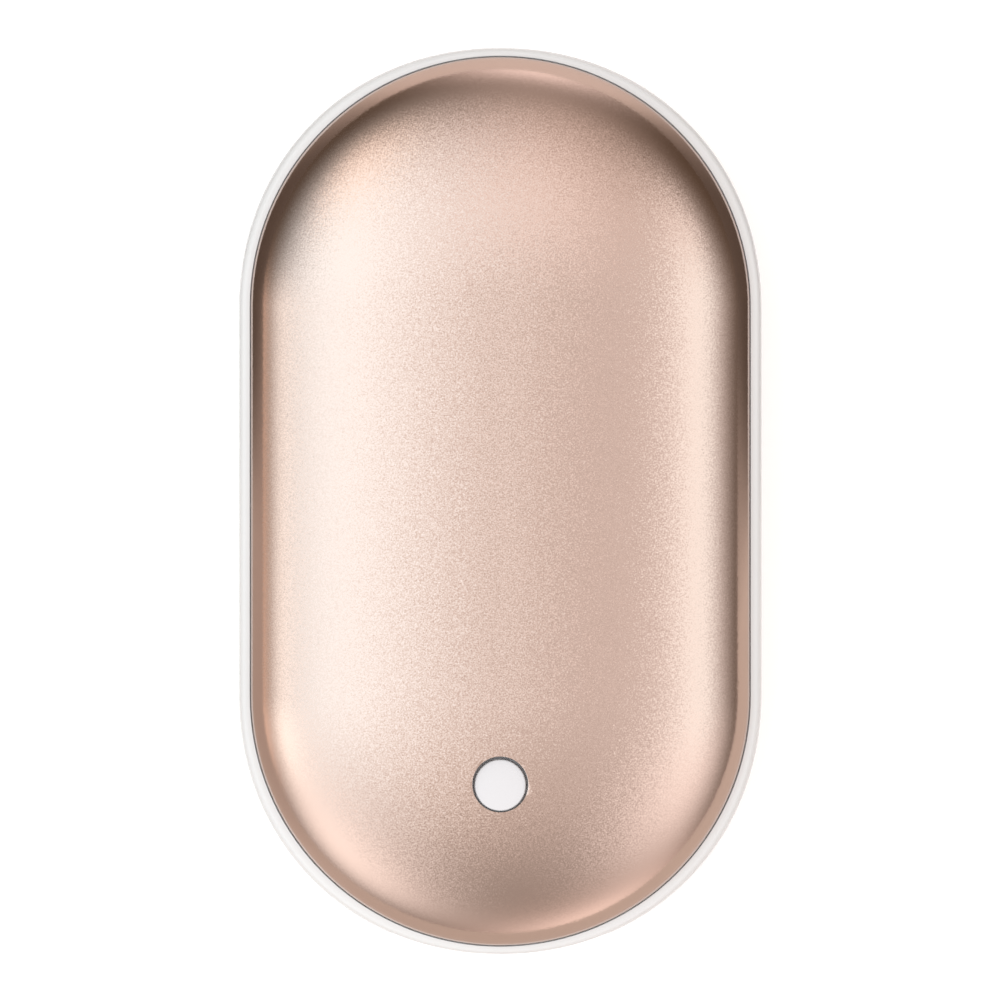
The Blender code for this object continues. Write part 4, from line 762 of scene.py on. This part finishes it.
class HANDWARMER_OT_ports(bpy.types.Operator):
    """Builds the output and input ports with their springs and contacts"""

    bl_idname = "handwarmer.ports"
    bl_label = "Charging ports"

    def execute(self, context):
        steel = finish(
            "Port steel", (0.60, 0.60, 0.59),
            roughness=0.27, metallic=1.0, grain=0.0003, depth=0.0000015, tint=0.05, sheen=0.06,
        )
        black = finish(
            "Port insert", (0.022, 0.022, 0.023),
            roughness=0.42, grain=0.0003, depth=0.000002, tint=0.2, sheen=0.05,
        )
        gold = finish(
            "Gold plate", (0.78, 0.55, 0.22),
            roughness=0.24, metallic=1.0, grain=0.0002, depth=0.000001, tint=0.05, sheen=0.04,
        )
        can = self.can("usb_a_can", USB_A_LOW, USB_A_HIGH, USB_A_CORNERS, steel)
        middle = (USB_A_LOW + USB_A_HIGH) / 2
        for side in (-1.0, 1.0):
            for up, roof in ((1.0, USB_A_HIGH.z), (-1.0, USB_A_LOW.z)):
                combine(can, self.spring(middle.x + side * SPRING_OFFSET, roof - up * CAN_WALL / 2, up), "UNION")
        finish_piece(can, "case", ["usb_a_shell"])
        can = self.can("micro_usb_can", MICRO_LOW, MICRO_HIGH, MICRO_CORNERS, steel)
        finish_piece(can, "case", ["micro_usb_shell"])
        self.insert("usb_a_insert", "usb_a_tongue", *USB_A_TONGUE, black)
        self.insert("micro_usb_insert", "micro_usb_tongue", *MICRO_TONGUE, black)
        low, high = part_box("usb_a_tongue")
        self.contacts("usb_a_contacts", (low + high) / 2, low.y, *USB_A_CONTACTS, middle.z, gold)
        low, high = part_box("micro_usb_tongue")
        height = low.z + MICRO_CONTACT_RISE
        self.contacts("micro_usb_contacts", (low + high) / 2, low.y, *MICRO_CONTACTS, height, gold)
        return {"FINISHED"}

    @staticmethod
    def can(name, low, high, radii, material):
        """A folded metal can, open at the front, with rounded corners and a softened mouth."""
        size, middle = high - low, (low + high) / 2
        outer = prism(rounded_outline(size.x, size.z, radii), 0.0, size.y)
        mouth = [edge for edge in outer.edges if all(abs(v.co.z) < MERGE_DISTANCE for v in edge.verts)]
        rounded_edges(outer, mouth, CAN_MOUTH_RADIUS, CAN_MOUTH_SEGMENTS)
        seat = Matrix.Translation((middle.x, low.y, middle.z))
        piece = as_object(name, placed(placed(outer, LIE_ALONG_Y), seat), material)
        inner = rounded_outline(size.x - 2 * CAN_WALL, size.z - 2 * CAN_WALL, [r - CAN_WALL / 2 for r in radii])
        hollow = prism(inner, -OVERRUN, size.y - CAN_WALL)
        combine(piece, placed(placed(hollow, LIE_ALONG_Y), seat))
        return piece

    @staticmethod
    def spring(x, height, up):
        """A leaf spring that dips from the can's roof or floor into the port."""
        upper = [(BAY_FLOOR_Y + y, height - up * dip) for y, dip in SPRING_PATH]
        lower = [(y, z - up * SPRING_THICKNESS) for y, z in reversed(upper)]
        leaf = prism(upper + lower, x - SPRING_WIDTH / 2, x + SPRING_WIDTH / 2)
        return placed(leaf, LIE_ALONG_X)

    @staticmethod
    def insert(name, node, rise_share, thickness, material):
        """A port's insert: the block at its back and the tongue that carries the contacts."""
        low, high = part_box(node)
        tongue_low = low.z + rise_share * (high.z - low.z)
        back = high.y - INSERT_BACK
        tongue = block((low.x, low.y, tongue_low), (high.x, back + GAP, tongue_low + thickness))
        front = [edge for edge in tongue.edges if all(abs(v.co.y - low.y) < MERGE_DISTANCE for v in edge.verts)]
        piece = as_object(name, rounded_edges(tongue, front, thickness / TONGUE_EDGE_PARTS), material)
        combine(piece, block((low.x, back, low.z), tuple(high)), "UNION")
        finish_piece(piece, "case", [node])

    @staticmethod
    def contacts(name, middle, front, count, pitch, width, length, height, material):
        """A row of gold contacts on the underside of a tongue."""
        pads = []
        for index in range(count):
            x = middle.x + pitch * (index - (count - 1) / 2)
            low = (x - width / 2, front + CONTACT_SETBACK, height - CONTACT_PROUD)
            pads.append(block(low, (x + width / 2, front + CONTACT_SETBACK + length, height + CONTACT_PROUD)))
        finish_piece(as_object(name, merged(pads), material), "case")


class HANDWARMER_OT_charge_lights(bpy.types.Operator):
    """Builds the milky light guide whose four ends show in the band"""

    bl_idname = "handwarmer.charge_lights"
    bl_label = "Charge lights"

    def execute(self, context):
        milky = finish(
            "Milky plastic", (0.78, 0.80, 0.82),
            roughness=0.22, grain=0.0004, depth=0.000001, tint=0.02, sheen=0.02, coat=0.3,
        )
        first, sweep = LIGHT_TURNS[0] - COMB_MARGIN, LIGHT_TURNS[-1] - LIGHT_TURNS[0] + 2 * COMB_MARGIN
        points = []
        for radius, forward in ((COMB_INNER_RADIUS, True), (COMB_OUTER_RADIUS, False)):
            for step in range(COMB_STEPS + 1):
                turn = first + sweep * (step if forward else COMB_STEPS - step) / COMB_STEPS
                points.append((radius * math.cos(turn), radius * math.sin(turn) - END_CENTRE))
        comb = as_object("light_guide", prism(points, COMB_LOW.z, COMB_HIGH.z), milky)
        pins = []
        for turn in LIGHT_TURNS:
            profile = [(0.0, COMB_OUTER_RADIUS - OVERRUN), (PIN_RADIUS, COMB_OUTER_RADIUS - OVERRUN)]
            for step in range(ARC_STEPS + 1):
                bend = math.pi / 2 * step / ARC_STEPS
                profile.append((PIN_RADIUS * math.cos(bend), PIN_END_RADIUS + PIN_CROWN * (math.sin(bend) - 1)))
            profile[-1] = (0.0, PIN_END_RADIUS)
            pins.append(placed(turned(profile, PIN_STEPS), light_frame(turn)))
        combine(comb, merged(pins), "UNION")
        finish_piece(comb, "case", ["light_comb"])
        return {"FINISHED"}


class HANDWARMER_OT_inner_finishes(bpy.types.Operator):
    """Gives the frame's own inner pieces their finishes"""

    bl_idname = "handwarmer.inner_finishes"
    bl_label = "Inner pieces"

    def execute(self, context):
        black = finish(
            "Black plastic", (0.022, 0.022, 0.024),
            roughness=0.45, grain=0.0004, depth=0.000004, tint=0.2, sheen=0.05,
        )
        dress(
            black, "front_liner", "rear_liner", "cell_cradle", "button_guide", "switch_body", "switch_plunger",
            "control_chip", "temperature_sensor",
        )
        wrap = finish(
            "Cell wrap", (0.02, 0.16, 0.38),
            roughness=0.28, grain=0.0008, depth=0.000003, tint=0.06, sheen=0.03,
        )
        dress(wrap, "cell_left", "cell_right")
        nickel = finish(
            "Nickel strip", (0.62, 0.58, 0.50),
            roughness=0.30, metallic=1.0, grain=0.0003, depth=0.000002, tint=0.05, sheen=0.05,
        )
        dress(nickel, "positive_strip", "negative_strip")
        screws = [f"cradle_screw_{number}" for number in range(1, 5)]
        steel = finish(
            "Screw steel", (0.52, 0.52, 0.50),
            roughness=0.32, metallic=1.0, grain=0.0003, depth=0.000002, tint=0.06, sheen=0.05,
        )
        dress(steel, "board_screw_left", "board_screw_right", "switch_cover", *screws)
        laminate = finish(
            "Board laminate", (0.02, 0.16, 0.07),
            roughness=0.38, grain=0.0012, depth=0.000006, tint=0.18, sheen=0.04, coat=0.4,
        )
        dress(laminate, "main_board")
        lamp = finish(
            "Lamp plastic", (0.80, 0.80, 0.74),
            roughness=0.22, grain=0.0004, depth=0.000001, tint=0.02, sheen=0.02, coat=0.3,
        )
        dress(lamp, "button_light", *[f"charge_light_{number}" for number in range(1, 5)])
        dress(self.film(), "front_heater", "rear_heater")
        fibre = finish(
            "Insulating board", (0.55, 0.52, 0.43),
            roughness=0.80, grain=0.0006, depth=0.00002, tint=0.08, sheen=0.05,
        )
        dress(fibre, "front_insulator", "rear_insulator")
        ferrite = finish(
            "Ferrite", (0.05, 0.05, 0.052),
            roughness=0.60, grain=0.0003, depth=0.000008, tint=0.15, sheen=0.06,
        )
        dress(ferrite, "boost_coil")
        for colour, name, leads in (
            ((0.03, 0.03, 0.03), "Black lead", ("cell_lead",)),
            ((0.50, 0.025, 0.02), "Red lead", ("front_heater_lead", "rear_heater_lead")),
            ((0.74, 0.74, 0.72), "White lead", ("sensor_lead",)),
        ):
            dress(finish(name, colour, roughness=0.42, grain=0.0005, depth=0.000003, tint=0.05, sheen=0.04), *leads)
        return {"FINISHED"}

    @staticmethod
    def film():
        """The heater film: amber sheet with a dark zigzag of heating track in it."""
        material = finish(
            "Heater film", (0.42, 0.17, 0.025),
            roughness=0.30, grain=0.0006, depth=0.000003, tint=0.05, sheen=0.03,
        )
        nodes, links = material.node_tree.nodes, material.node_tree.links
        shader = nodes["Principled BSDF"]
        place = nodes.new("ShaderNodeTexCoord").outputs["Object"]
        track = nodes.new("ShaderNodeTexWave")
        track.bands_direction = "Y"
        track.inputs["Scale"].default_value = TRACK_SCALE
        links.new(place, track.inputs["Vector"])
        share = spread(nodes, links, track.outputs["Fac"], 0.0, 1.0)
        share.node.inputs["From Min"].default_value, share.node.inputs["From Max"].default_value = TRACK_EDGES
        amber = shader.inputs["Base Color"].links[0].from_socket
        links.new(mixed(nodes, links, share, amber, TRACK_COLOUR), shader.inputs["Base Color"])
        return material


class HANDWARMER_OT_stage(bpy.types.Operator):
    """Sets the pale floor, the soft studio light and the camera"""

    bl_idname = "handwarmer.stage"
    bl_label = "Stage"

    def execute(self, context):
        scene = context.scene
        scene.view_settings.view_transform = "Standard"
        self.floor()
        self.low_card()
        self.sky()
        self.camera()
        return {"FINISHED"}

    @staticmethod
    def stand(name, bm, material_name):
        """An object of the stage with a material of its own: the object, and the material's nodes and links."""
        mesh = bpy.data.meshes.new(name)
        bm.to_mesh(mesh)
        bm.free()
        made = bpy.data.objects.new(name, mesh)
        bpy.context.collection.objects.link(made)
        material = bpy.data.materials.new(material_name)
        material.use_nodes = True
        mesh.materials.append(material)
        return made, material.node_tree.nodes, material.node_tree.links

    def floor(self):
        """A pale floor that shows white to the camera and keeps the shadow."""
        bm = bmesh.new()
        bmesh.ops.create_grid(bm, x_segments=1, y_segments=1, size=FLOOR_SIZE / 2)
        bmesh.ops.translate(bm, vec=(0.0, 0.0, FLOOR_HEIGHT), verts=bm.verts)
        ground, nodes, links = self.stand("floor", bm, "Pale floor")
        shader = nodes["Principled BSDF"]
        shader.inputs["Base Color"].default_value = (*FLOOR_COLOUR, 1.0)
        shader.inputs["Roughness"].default_value = FLOOR_ROUGHNESS
        shader.inputs["Specular IOR Level"].default_value = 0.0
        shader.inputs["Emission Color"].default_value = (FLOOR_GLOW, FLOOR_GLOW, FLOOR_GLOW, 1.0)
        rays = nodes.new("ShaderNodeLightPath")
        seen = rays.outputs["Is Camera Ray"]
        for other in ("Is Glossy Ray", "Is Transmission Ray"):
            seen = maths(nodes, links, "MAXIMUM", seen, rays.outputs[other])
        links.new(seen, shader.inputs["Emission Strength"])

    def low_card(self):
        """A low sloping card bent round the object, which its shells show in place of the far floor."""
        rings = [
            outline(BAND_HALF_WIDTH + gap, BAND_HALF_LENGTH + gap, height) for gap, height in (CARD_FOOT, CARD_TOP)
        ]
        bm = loft(rings)
        bmesh.ops.delete(bm, geom=[face for face in bm.faces if len(face.verts) > 4], context="FACES_ONLY")
        card, nodes, links = self.stand("low_card", bm, "Shaded card")
        card.visible_camera = False
        card.visible_diffuse = False
        card.visible_shadow = False
        place = nodes.new("ShaderNodeTexCoord").outputs["Object"]
        flat = vector_maths(nodes, links, "MULTIPLY", place, (1.0, 1.0, 0.0))
        toward = vector_maths(nodes, links, "NORMALIZE", flat)
        colour = CARD_COLOUR
        for turn, reach, tone in CARD_PATCHES:
            middle = (math.cos(math.radians(turn)), math.sin(math.radians(turn)), 0.0)
            facing = vector_maths(nodes, links, "DOT_PRODUCT", toward, middle)
            share = spread(nodes, links, facing, 0.0, 1.0)
            share.node.interpolation_type = "SMOOTHSTEP"
            share.node.inputs["From Min"].default_value = math.cos(math.radians(reach))
            colour = mixed(nodes, links, share, colour, tone)
        shader = nodes["Principled BSDF"]
        links.new(colour, shader.inputs["Base Color"])
        shader.inputs["Roughness"].default_value = CARD_ROUGHNESS

    @staticmethod
    def sky():
        """A dim room with a soft glow for each of its lights."""
        world = bpy.data.worlds.new("Soft room")
        bpy.context.scene.world = world
        world.use_nodes = True
        nodes, links = world.node_tree.nodes, world.node_tree.links
        toward = nodes.new("ShaderNodeTexCoord").outputs["Generated"]
        total = ROOM_COLOUR
        for name, turn, tilt, tightness, colour in SOFT_LIGHTS:
            across = math.sin(math.radians(tilt))
            middle = (
                across * math.cos(math.radians(turn)), across * math.sin(math.radians(turn)),
                math.cos(math.radians(tilt)),
            )
            facing = vector_maths(nodes, links, "DOT_PRODUCT", toward, middle)
            facing.node.label = name
            fall = maths(nodes, links, "MULTIPLY_ADD", facing, tightness, -tightness)
            fade = maths(nodes, links, "EXPONENT", fall)
            total = vector_maths(nodes, links, "MULTIPLY_ADD", fade, colour, total)
        links.new(total, nodes["Background"].inputs["Color"])

    @staticmethod
    def camera():
        """A long lens straight above the object."""
        data = bpy.data.cameras.new("camera")
        data.sensor_width = SENSOR_WIDTH
        data.lens = CAMERA_DISTANCE / VIEW_WIDTH * data.sensor_width
        data.clip_start, data.clip_end = CAMERA_DISTANCE / CLIP_RATIO, CLIP_RATIO * CAMERA_DISTANCE
        camera = bpy.data.objects.new("camera", data)
        camera.location = (*VIEW_CENTRE, MIDDLE + CAMERA_DISTANCE)
        bpy.context.collection.objects.link(camera)
        bpy.context.scene.camera = camera


class HANDWARMER_PT_builder(bpy.types.Panel):
    """Lists the hand warmer's sizes, colours and builders"""

    bl_label = "Hand warmer"
    bl_idname = "HANDWARMER_PT_builder"
    bl_space_type = "VIEW_3D"
    bl_region_type = "UI"
    bl_category = "Hand warmer"

    def draw(self, context):
        for name in WarmerLooks.__annotations__:
            self.layout.prop(context.scene.warmer_looks, name)
        for builder in BUILDERS:
            self.layout.operator(builder.bl_idname)


BUILDERS = (
    HANDWARMER_OT_shells,
    HANDWARMER_OT_band,
    HANDWARMER_OT_button,
    HANDWARMER_OT_ports,
    HANDWARMER_OT_charge_lights,
    HANDWARMER_OT_inner_finishes,
    HANDWARMER_OT_stage,
)
CLASSES = (WarmerLooks, *BUILDERS, HANDWARMER_PT_builder)


def register():
    for item in CLASSES:
        bpy.utils.register_class(item)
    bpy.types.Scene.warmer_looks = bpy.props.PointerProperty(type=WarmerLooks)


def unregister():
    del bpy.types.Scene.warmer_looks
    for item in reversed(CLASSES):
        bpy.utils.unregister_class(item)


def main():
    """Registers the add-on and builds everything in order."""
    register()
    for builder in BUILDERS:
        operator = getattr(bpy.ops.handwarmer, builder.bl_idname.split(".")[1])
        if operator() != {"FINISHED"}:
            raise RuntimeError(f"{builder.bl_label} did not finish")


if __name__ == "__main__":
    main()
